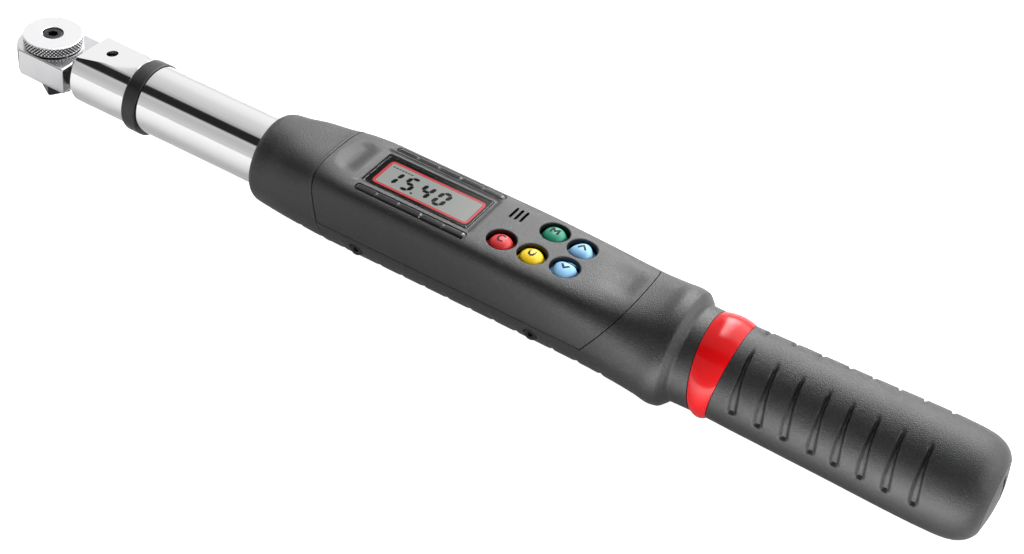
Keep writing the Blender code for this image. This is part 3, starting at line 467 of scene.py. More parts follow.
class Effects:
    """Node groups that several finishes share, each made once."""

    made: dict[str, bpy.types.NodeTree] = {}

    @classmethod
    def group(
        cls, name: str, inputs: dict[str, tuple[str, object]], outputs: list[str]
    ) -> tuple[bpy.types.NodeTree, Tree, bpy.types.Node]:
        """Empty group with its sockets, its tree helper and its input node.

        Args:
            name: name of the group.
            inputs: socket kind and default value by input name.
            outputs: names of its number outputs.

        Returns:
            The group, its tree helper and its input node.
        """
        group = bpy.data.node_groups.new(name, "ShaderNodeTree")
        for key, (kind, value) in inputs.items():
            socket = group.interface.new_socket(key, in_out="INPUT", socket_type="NodeSocket" + kind)
            if value is not None:
                socket.default_value = value
        for key in outputs:
            group.interface.new_socket(key, in_out="OUTPUT", socket_type="NodeSocketFloat")
        tree = Tree(group)
        cls.made[name] = group
        return group, tree, tree.add("NodeGroupInput")

    @classmethod
    def grain(cls) -> bpy.types.NodeTree:
        """Spark-eroded grain: fine noise on a coarser one, as a height and as soft patches.

        Returns:
            The group, with outputs Height and Patches.
        """
        if "grain" in cls.made:
            return cls.made["grain"]
        inputs = {"Vector": ("Vector", None), "Scale": ("Float", 2600.0)}
        group, tree, given = cls.group("grain", inputs, ["Height", "Patches"])
        fine = tree.add("TexNoise", {
            "Vector": given.outputs[0], "Scale": given.outputs[1], "Detail": 3.0, "Roughness": 0.6,
        })
        pits = tree.add("TexVoronoi", {"Vector": given.outputs[0], "Scale": given.outputs[1]}, feature="SMOOTH_F1")
        wide = tree.add("TexNoise", {"Vector": given.outputs[0], "Scale": 90.0, "Detail": 4.0, "Roughness": 0.55})
        height = tree.maths("ADD", fine.outputs[0], tree.maths("MULTIPLY", pits.outputs["Distance"], 0.35))
        tree.add("NodeGroupOutput", {"Height": height, "Patches": tree.span(wide.outputs[0], 0.3, 0.7)})
        return group

    @classmethod
    def handling(cls) -> bpy.types.NodeTree:
        """Traces of use: soft smears, as a mask.

        Returns:
            The group, with output Smears.
        """
        if "handling" in cls.made:
            return cls.made["handling"]
        group, tree, given = cls.group("handling", {"Vector": ("Vector", None)}, ["Smears"])
        wide = tree.add("TexNoise", {
            "Vector": given.outputs[0], "Scale": 60.0, "Detail": 5.0, "Roughness": 0.6, "Distortion": 0.6,
        })
        tree.add("NodeGroupOutput", {"Smears": tree.span(wide.outputs[0], 0.42, 0.68, smooth=True)})
        return group

    @classmethod
    def lathe_marks(cls) -> bpy.types.NodeTree:
        """Concentric tool marks about the upright axis through the origin, as a height.

        Returns:
            The group, with output Height.
        """
        if "lathe_marks" in cls.made:
            return cls.made["lathe_marks"]
        inputs = {"Vector": ("Vector", None), "Pitch": ("Float", 2000.0)}
        group, tree, given = cls.group("lathe_marks", inputs, ["Height"])
        split = tree.add("SeparateXYZ", {0: given.outputs[0]})
        flat = tree.add("CombineXYZ", {0: split.outputs[0], 1: split.outputs[1]})
        reach = tree.add("VectorMath", {0: flat.outputs[0]}, operation="LENGTH").outputs["Value"]
        place = tree.add("CombineXYZ", {0: tree.maths("MULTIPLY", reach, given.outputs[1])})
        rings = tree.add("TexNoise", {"Vector": place.outputs[0], "Scale": 1.0, "Detail": 2.0})
        tree.add("NodeGroupOutput", {"Height": rings.outputs[0]})
        return group


@dataclass(frozen=True)
class Finish:
    """Shared part of every finish: a named material with grain, smears and a bump.

    Attributes:
        name: material name.
        colour: base colour.
        rough: roughness where clean.
        rough_worn: roughness where smeared.
        metallic: 1 for metals.
        grain_scale: fineness of the grain, per metre.
        bump: depth of the grain in metres.
        tint: brightness of the smeared patches against the clean ones.
        coat: weight of a clear top coat.
        specular: strength of the dielectric reflection, 0.5 is plain.
    """

    name: str
    colour: Colour
    rough: float = 0.4
    rough_worn: float = 0.5
    metallic: float = 0.0
    grain_scale: float = 2600.0
    bump: float = 0.0
    tint: float = 1.15
    coat: float = 0.0
    specular: float = 0.5

    def material(self) -> bpy.types.Material:
        """The material, made on first use.

        Returns:
            The material.
        """
        found = bpy.data.materials.get(self.name)
        if found is not None and found.get("ready"):
            return found
        made = bpy.data.materials.new(self.name)
        made.use_nodes = True
        made["ready"] = True
        self.fill(Tree(made.node_tree))
        return made

    def fill(self, tree: Tree) -> bpy.types.Node:
        """Nodes of the finish; returns the shader for a subclass to add to.

        Args:
            tree: the node tree helper.

        Returns:
            The shader, for a subclass to add to.
        """
        where = tree.add("TexCoord").outputs["Object"]
        grain = tree.add("Group", node_tree=Effects.grain())
        tree.tree.links.new(where, grain.inputs[0])
        grain.inputs[1].default_value = self.grain_scale
        worn = tree.add("Group", node_tree=Effects.handling())
        tree.tree.links.new(where, worn.inputs[0])
        patches = tree.maths("MULTIPLY", grain.outputs["Patches"], worn.outputs["Smears"])
        shader = tree.add("BsdfPrincipled", {
            "Base Color": tree.blend(patches, rgba(self.colour), rgba(self.colour, self.tint)),
            "Roughness": tree.span(worn.outputs["Smears"], 0.0, 1.0, self.rough, self.rough_worn),
            "Metallic": self.metallic,
            "Coat Weight": self.coat,
            "Coat Roughness": 0.08,
            "Specular IOR Level": self.specular,
        })
        if self.bump:
            height = self.relief(tree, where, grain)
            bump = tree.add("Bump", {"Height": height, "Strength": 1.0, "Distance": self.bump})
            tree.tree.links.new(bump.outputs[0], shader.inputs["Normal"])
        tree.add("OutputMaterial", {"Surface": shader.outputs[0]})
        return shader

    def relief(self, tree: Tree, where: bpy.types.NodeSocket, grain: bpy.types.Node) -> bpy.types.NodeSocket:
        """Height that drives the bump."""
        return grain.outputs["Height"]


@dataclass(frozen=True)
class TurnedMetal(Finish):
    """Metal with concentric tool marks about the upright axis of the head."""

    def relief(self, tree: Tree, where: bpy.types.NodeSocket, grain: bpy.types.Node) -> bpy.types.NodeSocket:
        """Rings of the turning tool with a trace of grain.

        Args:
            tree: the node tree helper.
            where: object coordinates.
            grain: the grain node.

        Returns:
            The height.
        """
        rings = tree.add("Group", node_tree=Effects.lathe_marks())
        tree.tree.links.new(where, rings.inputs[0])
        return tree.maths("ADD", rings.outputs[0], tree.maths("MULTIPLY", grain.outputs["Height"], 0.3))


@dataclass(frozen=True)
class GrainedPlastic(Finish):
    """Spark-eroded plastic whose raised grain is a little paler.

    Attributes:
        pale: colour on top of the grain.
        speckle: fineness of the pale grain, per metre.
    """

    pale: Colour = (0.020, 0.020, 0.021)
    speckle: float = 1500.0

    def fill(self, tree: Tree) -> bpy.types.Node:
        """Pale specks over the plain finish.

        Args:
            tree: the node tree helper.

        Returns:
            the shader.
        """
        shader = super().fill(tree)
        where = tree.add("TexCoord").outputs["Object"]
        noise = tree.add("TexNoise", {"Vector": where, "Scale": self.speckle, "Detail": 2.0, "Roughness": 0.7})
        specks = tree.span(noise.outputs[0], 0.50, 0.72)
        plain = shader.inputs["Base Color"].links[0].from_socket
        tree.tree.links.new(tree.blend(specks, plain, rgba(self.pale)), shader.inputs["Base Color"])
        return shader


@dataclass(frozen=True)
class Window(Finish):
    """Clear moulded window."""

    ior: float = 1.49

    def fill(self, tree: Tree) -> bpy.types.Node:
        """Add transmission to the plain finish.

        Args:
            tree: the node tree helper.

        Returns:
            the shader.
        """
        shader = super().fill(tree)
        shader.inputs["Transmission Weight"].default_value = 1.0
        shader.inputs["IOR"].default_value = self.ior
        return shader


@dataclass(frozen=True)
class PaintedGlow(Finish):
    """Painted light: a display face or print that glows though it is no lamp.

    Attributes:
        light: strength of the painted glow.
        gain: brightness of the painted glow against the base colour.
    """

    light: float = 0.2
    gain: float = 1.0

    def fill(self, tree: Tree) -> bpy.types.Node:
        """Add the painted glow to the plain finish.

        Args:
            tree: the node tree helper.

        Returns:
            the shader.
        """
        shader = super().fill(tree)
        shader.inputs["Emission Color"].default_value = rgba(self.colour, self.gain)
        shader.inputs["Emission Strength"].default_value = self.light
        return shader


@dataclass(frozen=True)
class PaleFloor(Finish):
    """Pale glowing floor: evenly white to look at, with a painted pool of light and a painted shade patch in what it
    throws back.

    Attributes:
        glow: brightness it gives of itself.
        painted_pool: brightness of the painted pool of light.
        pool_place: middle of the painted pool of light in metres.
        pool_reach: half sizes of the painted pool of light in metres.
        shade_place: middle of the painted shade patch in metres.
        shade_reach: half sizes of the painted shade patch in metres.
        shade_colour: colour of the painted shade patch.
    """

    glow: float = 0.20
    painted_pool: float = 6.6
    pool_place: tuple[float, float, float] = (0.37, -0.10, 0.0)
    pool_reach: tuple[float, float, float] = (0.21, 0.085, 1.0)
    shade_place: tuple[float, float, float] = (-0.055, 0.002, 0.0)
    shade_reach: tuple[float, float, float] = (0.034, 0.036, 1.0)
    shade_colour: Colour = (0.05, 0.05, 0.05)

    def patch(self, tree: Tree, where: bpy.types.NodeSocket, place: tuple, reach: tuple) -> bpy.types.NodeSocket:
        """Soft oval area: 1 in the middle, 0 at its rim.

        Args:
            tree: the node tree helper.
            where: object coordinates.
            place: middle of the area in metres.
            reach: half sizes of the area in metres.

        Returns:
            The mask.
        """
        off = tree.add("VectorMath", {0: where, 1: place}, operation="SUBTRACT")
        share = tree.add("VectorMath", {0: off.outputs[0], 1: reach}, operation="DIVIDE")
        away = tree.add("VectorMath", {0: share.outputs[0]}, operation="LENGTH").outputs["Value"]
        return tree.span(away, 1.0, 0.15, smooth=True)

    def fill(self, tree: Tree) -> bpy.types.Node:
        """Add the floor's glow, its painted pool of light and its painted shade patch to the plain finish.

        Args:
            tree: the node tree helper.

        Returns:
            the shader.
        """
        shader = super().fill(tree)
        where = tree.add("TexCoord").outputs["Object"]
        # painted light: a glowing pool painted on the floor in front of the grip
        painted_pool = self.patch(tree, where, self.pool_place, self.pool_reach)
        lit = tree.maths("MULTIPLY_ADD", painted_pool, self.painted_pool, self.glow)
        # painted shade: a dark patch without glow painted on the floor under the head
        open_part = tree.maths("SUBTRACT", 1.0, self.patch(tree, where, self.shade_place, self.shade_reach))
        seen = tree.add("LightPath").outputs["Is Camera Ray"]
        strength = tree.maths("MAXIMUM", tree.maths("MULTIPLY", lit, open_part), seen)
        colour = tree.blend(open_part, rgba(self.shade_colour), rgba(self.colour))
        tree.tree.links.new(colour, shader.inputs["Base Color"])
        shader.inputs["Emission Color"].default_value = (1.0, 1.0, 1.0, 1.0)
        tree.tree.links.new(strength, shader.inputs["Emission Strength"])
        return shader


@dataclass(frozen=True)
class ForgedMetal(Finish):
    """Satin metal with painted shade in the narrow recess behind the head.

    Attributes:
        recess: x in metres where the recess starts and where its painted shade is full.
        level: height in metres below which the recess is painted dark.
        soft: height in metres over which the painted shade fades out above the level.
        recess_shade: colour of the painted shade in the recess.
    """

    recess: tuple[float, float] = (0.0153, 0.0157)
    level: float = 0.0212
    soft: float = 0.0004
    recess_shade: Colour = (0.10, 0.10, 0.10)

    def fill(self, tree: Tree) -> bpy.types.Node:
        """Paint shade into the recess of the plain finish.

        Args:
            tree: the node tree helper.

        Returns:
            the shader.
        """
        shader = super().fill(tree)
        split = tree.add("SeparateXYZ", {0: tree.add("TexCoord").outputs["Object"]})
        below = tree.span(split.outputs[2], self.level + self.soft, self.level)
        # painted shade: the recess behind the head is darkened in the colour, on top of its real depth
        dark = tree.maths("MULTIPLY", tree.span(split.outputs[0], *self.recess), below)
        plain = shader.inputs["Base Color"].links[0].from_socket
        tree.tree.links.new(tree.blend(dark, plain, rgba(self.recess_shade)), shader.inputs["Base Color"])
        return shader


@dataclass(frozen=True)
class KnurledMetal(TurnedMetal):
    """Turned metal with painted shade in the grooves of a knurled rim.

    Attributes:
        groove: radius in metres where the painted shade is full, and where it ends.
        level: heights in metres between which the rim is knurled.
        rim_start: radius in metres outside which the rim lies.
        rim_rough: least roughness of the rim.
        groove_shade: colour of the painted shade in the grooves.
    """

    groove: tuple[float, float] = (0.01172, 0.01196)
    level: tuple[float, float] = (0.0232, 0.0269)
    rim_start: float = 0.0113
    rim_rough: float = 0.38
    groove_shade: Colour = (0.015, 0.015, 0.016)

    def fill(self, tree: Tree) -> bpy.types.Node:
        """Paint shade into the grooves of the plain finish.

        Args:
            tree: the node tree helper.

        Returns:
            the shader.
        """
        shader = super().fill(tree)
        split = tree.add("SeparateXYZ", {0: tree.add("TexCoord").outputs["Object"]})
        flat = tree.add("CombineXYZ", {0: split.outputs[0], 1: split.outputs[1]})
        reach = tree.add("VectorMath", {0: flat.outputs[0]}, operation="LENGTH").outputs["Value"]
        low = tree.span(reach, self.groove[1], self.groove[0])
        above = tree.maths("GREATER_THAN", split.outputs[2], self.level[0])
        rim = tree.maths("MULTIPLY", above, tree.maths("LESS_THAN", split.outputs[2], self.level[1]))
        outside = tree.maths("GREATER_THAN", reach, self.rim_start)
        # painted shade: the knurl's grooves are darkened in the colour, on top of their real depth
        dark = tree.maths("MULTIPLY", low, tree.maths("MULTIPLY", rim, outside))
        plain = shader.inputs["Base Color"].links[0].from_socket
        tree.tree.links.new(tree.blend(dark, plain, rgba(self.groove_shade)), shader.inputs["Base Color"])
        smooth = shader.inputs["Roughness"].links[0].from_socket
        least = tree.maths("MULTIPLY", rim, tree.maths("MULTIPLY", outside, self.rim_rough))
        tree.tree.links.new(tree.maths("MAXIMUM", smooth, least), shader.inputs["Roughness"])
        return shader


POLISHED = Finish("polished_chrome", (0.86, 0.86, 0.87), 0.07, 0.10, 1.0, 1500.0, 0.0, 0.98)
FORGED = ForgedMetal("satin_chrome", (0.66, 0.66, 0.67), 0.20, 0.27, 1.0, 5200.0, 0.000008, 0.92)
DISC = KnurledMetal("turned_chrome", (0.90, 0.90, 0.91), 0.15, 0.20, 1.0, 3000.0, 0.000022, 0.95)
BLACKED = Finish("blacked_steel", (0.045, 0.045, 0.048), 0.32, 0.42, 1.0, 3800.0, 0.000006, 1.4)
STEEL = Finish("bright_steel", (0.46, 0.46, 0.48), 0.28, 0.38, 1.0, 4200.0, 0.000004, 0.85)
BRASS = Finish("brass", (0.72, 0.52, 0.22), 0.28, 0.40, 1.0, 3600.0, 0.000004, 0.8)
FOIL = Finish("etched_foil", (0.70, 0.48, 0.20), 0.38, 0.48, 1.0, 6000.0, 0.000006, 0.85)
HOUSING = GrainedPlastic(
    "grained_plastic", (0.005, 0.005, 0.0055), 0.32, 0.36, 0.0, 2400.0, 0.00016, 1.2, specular=0.62)
GRIP = GrainedPlastic(
    "grip_plastic", (0.005, 0.005, 0.0055), 0.34, 0.38, 0.0, 2400.0, 0.00018, 1.2, specular=0.6)
BAR = Finish("smoked_bar", (0.006, 0.006, 0.007), 0.10, 0.14, 0.0, 2400.0, 0.0, 1.3, coat=0.5)
SEAL = Finish("moulded_black", (0.012, 0.012, 0.013), 0.30, 0.36, 0.0, 2600.0, 0.00001, 1.2)
RED_GLOSS = Finish("gloss_red", (0.56, 0.004, 0.006), 0.14, 0.18, 0.0, 2400.0, 0.0, 0.92, specular=0.24)
KEY_RED = Finish("key_red", (0.60, 0.022, 0.026), 0.34, 0.40, 0.0, 2800.0, 0.00001, 0.94)
KEY_YELLOW = Finish("key_yellow", (0.88, 0.60, 0.010), 0.34, 0.40, 0.0, 2800.0, 0.00001, 0.95)
KEY_GREEN = Finish("key_green", (0.014, 0.25, 0.150), 0.34, 0.40, 0.0, 2800.0, 0.00001, 1.1)
KEY_BLUE = Finish("key_blue", (0.26, 0.53, 0.80), 0.34, 0.40, 0.0, 2800.0, 0.00001, 0.95)
PRINT = Finish("legend_print", (0.010, 0.010, 0.012), 0.55, 0.60, 0.0, 3000.0, 0.0, 1.2, specular=0.15)
WINDOW = Window("clear_window", (0.96, 0.97, 0.96), 0.0, 0.01, 0.0, 2400.0, 0.0, 0.99)
MASK = Finish("window_mask", (0.006, 0.006, 0.0065), 0.40, 0.46, 0.0, 3000.0, 0.0, 1.15, specular=0.0)
# painted light: the red border print and the display face glow in place of the light that falls on them
BORDER = PaintedGlow(
    "border_print", (0.072, 0.008, 0.009), 0.42, 0.46, 0.0, 3000.0, 0.0, 0.95, specular=0.0, light=1.0, gain=9.5)
FACE = PaintedGlow(
    "display_face", (0.018, 0.0186, 0.018), 0.40, 0.46, 0.0, 5200.0, 0.0, 1.05, specular=0.0, light=1.0, gain=21.0)
PANEL = Finish("display_glass", (0.10, 0.105, 0.10), 0.20, 0.26, 0.0, 2600.0, 0.0, 1.1)
SEGMENT = Finish("display_segment", (0.006, 0.006, 0.007), 0.42, 0.46, 0.0, 3000.0, 0.0, 1.1, specular=0.0)
BOARD = Finish("board_laminate", (0.02, 0.16, 0.07), 0.40, 0.50, 0.0, 3400.0, 0.00001, 1.2, coat=0.3)
WHITE = Finish("white_moulding", (0.75, 0.75, 0.73), 0.42, 0.50, 0.0, 2600.0, 0.00001, 0.95)
RUBBER = Finish("black_elastomer", (0.014, 0.014, 0.014), 0.70, 0.80, 0.0, 1800.0, 0.00002, 1.4)
WRAP = Finish("printed_wrap", (0.05, 0.14, 0.34), 0.30, 0.40, 0.0, 2600.0, 0.0, 1.3, coat=0.5)


def place(piece: bpy.types.Object, finish: Finish, body: str, slot: str, *nodes: str) -> bpy.types.Object:
    """Give a piece its finish and body, and let it stand for solid nodes.

    Args:
        piece: the finished object.
        finish: its finish.
        body: the body it rides on.
        slot: its material slot in the record; not used.
        nodes: solid nodes that it replaces.

    Returns:
        The piece.
    """
    piece.data.materials.clear()
    piece.data.materials.append(finish.material())
    level = piece.modifiers.new("level_normals", "WEIGHTED_NORMAL")
    level.keep_sharp = True
    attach(piece, body)
    if nodes:
        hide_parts(*nodes)
    LOG.info("%s: %d faces on %s", piece.name, len(piece.data.polygons), body)
    return piece


# ---------------------------------------------------------------- head


@dataclass(frozen=True)
class Head:
    """Ratchet head with its tang, drive, selector disc and catch pin."""

    nose: float = 14.4
    half: float = 12.6
    rear: float = 15.6
    low: float = 10.1
    high: float = 22.4
    round_edge: float = 0.8
    round_base: float = 2.0
    disc_low: float = 22.9
    disc_high: float = 27.2
    knurls: int = 50
    knurl_depth: float = 0.6
    knurl_pitch: float = 1.5
    peg: tuple[float, float, float] = (10.2, -20.0, 18.8)
    square: float = 9.53
    square_turn: float = -30.0
    ball_show: float = 0.9
    ball_radius: float = 1.6
    ball_height: float = 4.6
    catch_x: float = 30.9

    def plan(self, inset: float) -> Array:
        """Outline of the head in plan, drawn in by the inset: round nose, flat flanks, square rear.

        Args:
            inset: distance to the full outline.

        Returns:
            (n, 2) closed outline.
        """
        radius, half, rear = self.nose - inset, self.half - inset, self.rear - inset
        limit = math.pi - math.asin(half / radius)
        arc = np.linspace(limit, 2.0 * math.pi - limit, 72)
        nose = np.stack([radius * np.cos(arc), radius * np.sin(arc)], 1)
        outline = np.concatenate([[(rear, -half), (rear, half)], nose])
        return fillet(outline, np.r_[0.7, 0.7, np.zeros(len(nose))], True)

    def plate_plan(self, grow: float) -> Array:
        """Outline of the plate under the head, let out by grow.

        Args:
            grow: distance to the plate's own outline.

        Returns:
            (n, 2) closed outline.
        """
        radius, rear, half = 10.6 + grow, 14.7 + grow, 8.0 + grow
        start = math.asin(half / radius)
        arc = np.linspace(start, 2.0 * math.pi - start, 64)
        round_part = np.stack([radius * np.cos(arc), radius * np.sin(arc)], 1)
        return np.concatenate([[(rear, -half), (rear, half)], round_part])

    def body(self) -> None:
        """Head body: eased slab with shoulder and tang, bored and pocketed from below."""
        rim = fillet(
            [(4.0, self.low), (0.0, self.low), (0.0, self.high), (4.0, self.high)],
            [0.0, self.round_base, self.round_edge, 0.0], False)
        rings = np.stack([np.column_stack([self.plan(inset), np.full(len(self.plan(inset)), z)]) for inset, z in rim])
        head = skin(rings).build("head_forging")
        section = [(-8.4, 11.2), (8.4, 11.2), (8.4, 22.2), (-8.4, 22.2)]
        neck = slab(fillet(section, 3.8, True, 12), self.rear - 3.0, 20.2, plane="yz")
        tang = block((self.rear - 0.5, 40.5), (-6.0, 6.0), (AXIS - 4.5, AXIS + 4.5), 0.4, 0.4)
        carve(head, Cut.JOIN, neck, tang)
        arc = np.radians(np.linspace(-27.0, 27.0, 24))
        slot = np.concatenate([
            np.stack([11.35 * np.cos(arc), 11.35 * np.sin(arc)], 1),
            np.stack([9.05 * np.cos(arc[::-1]), 9.05 * np.sin(arc[::-1])], 1),
        ])
        carve(
            head, Cut.TAKE,
            lathe([(9.0, 8.5), (18.9, 8.5)], Turn.UPRIGHT, (0.0, 0.0)),
            block((4.0, 14.9), (-7.4, 7.4), (9.0, 18.5)),
            slab(self.plate_plan(0.3), 9.0, 11.7),
            lathe([(18.0, 2.3), (24.0, 2.3)], Turn.UPRIGHT, (0.0, 0.0), 48),
            lathe([(10.0, 1.15), (20.6, 1.15)], Turn.UPRIGHT, (12.6, 0.0), 32),
            lathe([(AXIS - 4.0, 2.15), (AXIS + 6.0, 2.15)], Turn.UPRIGHT, (self.catch_x, 0.0), 48),
            slab(slot, 18.0, 24.0),
        )
        place(head, FORGED, "wrench", "chrome", "head_body")

    def selector(self) -> None:
        """Knurled disc: crossed ridges on the rim, a turned top and a recess for the screw."""
        edge = fillet(
            [
                (self.disc_low, 2.3), (self.disc_low, 11.9), (self.disc_high, 11.9), (self.disc_high, 4.25),
                (24.6, 4.25), (24.6, 2.3),
            ],
            [0.0, 0.5, 0.45, 0.25, 0.2, 0.0], True, 7)
        rim = rows(self.disc_low + 0.5, self.disc_high - 0.45, step=0.11)
        wall = edge[:, 1] > 11.89
        first = int(np.argmax(wall)) + int(np.sum(wall & (edge[:, 0] < 25.0)))
        straight = np.column_stack([rim[1:-1], np.full(len(rim) - 2, 11.9)])
        profile = np.concatenate([edge[:first], straight, edge[first:]])
        count = self.knurls * 10
        angle = circle(count)
        z, radius = profile[:, :1], profile[:, 1:]
        across = self.knurls * angle / 2.0
        climb = math.pi * (z - self.disc_low) / self.knurl_pitch
        ridge = np.minimum(np.abs(np.sin(across + climb)), np.abs(np.sin(across - climb)))
        inside = ease(radius, 11.75, 11.9) * ease(z, self.disc_low + 0.35, self.disc_low + 0.6) * ease(
            z, self.disc_high - 0.3, self.disc_high - 0.55)
        reach = radius + inside * (0.1 - self.knurl_depth * (1.0 - ridge**0.7))
        disc = skin(np.stack([reach * np.cos(angle), reach * np.sin(angle), np.repeat(z, count, 1)], -1), True)
        reach, turn, end = self.peg
        spot = (reach * math.cos(math.radians(turn)), reach * math.sin(math.radians(turn)))
        peg = lathe(fillet([(end, 0.3), (end, 0.9), (self.disc_low + 1.0, 0.9)], 0.2, False), Turn.UPRIGHT, spot, 32)
        place(disc.plus(peg).build("selector_disc"), DISC, "selector", "chrome", "direction_disc")

    def screw(self) -> None:
        """Socket screw sunk in the disc."""
        profile = fillet(
            [(19.3, 1.5), (19.3, 2.0), (24.9, 2.0), (24.9, 3.9), (26.9, 3.9), (26.9, 1.0)],
            [0.0, 0.2, 0.1, 0.1, 0.5, 0.0], False)
        screw = lathe(profile, Turn.UPRIGHT, (0.0, 0.0), 72).build("socket_screw")
        key = lathe([(25.1, 2.0), (26.5, 2.0), (27.6, 2.5)], Turn.UPRIGHT, (0.0, 0.0), 6, start=0.3)
        place(carve(screw, Cut.TAKE, key), BLACKED, "wrench", "dark_steel", "disc_screw")

    def drive(self) -> None:
        """Ratchet wheel, hub and square in one, with the bore of the ball, and the ball."""
        tooth = np.tile([7.4, 8.1, 8.1], 24)
        where = (np.repeat(np.arange(24), 3) + np.tile([-0.5, -0.18, 0.18], 24)) * (2.0 * math.pi / 24.0)
        wheel = slab(np.stack([tooth * np.cos(where), tooth * np.sin(where)], 1), 12.0, 18.5)
        rim = fillet([(9.0, 3.0), (9.0, 6.3), (12.5, 6.3), (12.5, 3.0)], 0.4, False)
        hub = lathe(rim, Turn.UPRIGHT, (0.0, 0.0), 96)
        half = self.square / 2.0
        corners = fillet([(half, -half), (half, half), (-half, half), (-half, -half)], 0.9, True)
        shank = slab(corners, 0.0, 9.6, 1.1).turned(self.square_turn)
        drive = carve(wheel.build("drive_wheel"), Cut.JOIN, hub, shank)
        aim = math.radians(self.square_turn - 90.0)
        bore = lathe([(-half - 1.0, 1.8), (1.6, 1.8)], Turn.ACROSS, (0.0, self.ball_height), 40)
        bore = bore.turned(self.square_turn)
        place(carve(drive, Cut.TAKE, bore), BLACKED, "drive", "chrome", "drive_gear")
        reach = half + self.ball_show - self.ball_radius
        t = np.linspace(0.04, math.pi - 0.04, 24)
        profile = np.stack([self.ball_height - self.ball_radius * np.cos(t), self.ball_radius * np.sin(t)], 1)
        ball = lathe(profile, Turn.UPRIGHT, (reach * math.cos(aim), reach * math.sin(aim)), 40)
        place(ball.build("spring_ball"), STEEL, "detent", "spring_steel", "detent_ball")

    def catch(self) -> None:
        """Domed spring pin under the hole of the tool holder."""
        profile = fillet(
            [(AXIS + 1.0, 1.2), (AXIS + 1.0, 1.9), (AXIS + 7.3, 1.9), (AXIS + 7.3, 0.3)], [0.0, 0.3, 1.0, 0.0], False)
        pin = lathe(profile, Turn.UPRIGHT, (self.catch_x, 0.0), 48)
        place(pin.build("catch_plunger"), BLACKED, "catch", "spring_steel", "catch_pin")

    def build(self) -> None:
        """All pieces of the head."""
        self.body()
        self.selector()
        self.screw()
        self.drive()
        self.catch()


# ---------------------------------------------------------------- tube


@dataclass(frozen=True)
class Shaft:
    """Tool holder with its wedge flat, seal ring and outer tube."""

    radius: float = 14.0
    front: float = 20.5
    rear: float = 46.9
    flat: tuple[float, float] = (10.4, 13.9)
    ring_front: float = 47.1
    ring_rear: float = 53.4
    ring_radius: float = 15.0
    ring_drop: float = 0.65
    tube_rear: float = 150.0

    def holder(self) -> None:
        """Round holder with the wedge flat, the socket and the catch hole, and the beam behind it."""
        outer = fillet(
            [
                (self.front, 8.0), (self.front, self.radius), (self.rear, self.radius), (self.rear, 11.6),
                (self.ring_rear + 2.0, 11.6), (self.ring_rear + 2.0, 6.0),
            ],
            [0.0, 0.5, 0.2, 0.0, 0.3, 0.0], False)
        holder = lathe(outer, Turn.ALONG, count=192).build("insert_holder")
        beam = block((self.ring_rear, 123.0), (-4.5, 4.5), (AXIS - 8.0, AXIS + 8.0), 0.0, 0.5)
        plug = fillet([(122.0, 5.0), (122.0, 11.6), (148.0, 11.6), (148.0, 5.0)], 0.5, False)
        end = lathe(plug, Turn.ALONG, count=64)
        carve(holder, Cut.JOIN, beam, end)
        rise = (self.flat[1] - self.flat[0]) / (self.ring_front - self.front)
        low = AXIS + self.flat[0]
        wedge = slab([
            (self.front - 2.0, low - 2.0 * rise), (self.rear + 3.0, low + rise * (self.rear + 3.0 - self.front)),
            (self.rear + 3.0, AXIS + 22.0), (self.front - 2.0, AXIS + 22.0),
        ], -22.0, 22.0, plane="xz")
        hole = lathe([(AXIS, 2.35), (AXIS + 22.0, 2.35)], Turn.UPRIGHT, (30.9, 0.0), 64)
        socket = block((self.front - 1.0, 41.5), (-6.3, 6.3), (AXIS - 4.8, AXIS + 4.8))
        pin = lathe([(-15.0, 2.65), (15.0, 2.65)], Turn.ACROSS, (138.0, AXIS), 40)
        carve(holder, Cut.TAKE, wedge, hole, socket, pin)
        place(holder, POLISHED, "wrench", "chrome", "tool_holder")

    def ring(self) -> None:
        """Black ring between holder and tube, rounded outside."""
        a, b, r = self.ring_front, self.ring_rear, self.ring_radius
        profile = fillet([(a, 11.9), (a, r), (b, r), (b, 11.9)], [0.0, 0.7, 0.5, 0.0], True)
        ring = lathe(profile, Turn.ALONG, (0.0, AXIS), 160, True)
        outside = ease(np.hypot(ring.points[:, 1], ring.points[:, 2] - AXIS), 12.4, 13.6)
        ring.points[:, 2] -= self.ring_drop * outside
        place(ring.build("seal_collar"), SEAL, "wrench", "black_plastic", "seal_ring")

    def tube(self) -> None:
        """Plated outer tube."""
        a, b = 53.7, self.tube_rear
        profile = fillet([(a, 12.0), (a, self.radius), (b, self.radius), (b, 12.0)], [0.0, 0.4, 0.2, 0.0], True)
        piece = lathe(profile, Turn.ALONG, count=192, closed=True).build("plated_tube")
        carve(piece, Cut.TAKE, lathe([(-16.0, 2.65), (16.0, 2.65)], Turn.ACROSS, (138.0, AXIS), 40))
        place(piece, POLISHED, "wrench", "chrome", "tube")

    def build(self) -> None:
        """All pieces of the shaft."""
        self.holder()
        self.ring()
        self.tube()


# ---------------------------------------------------------------- housing


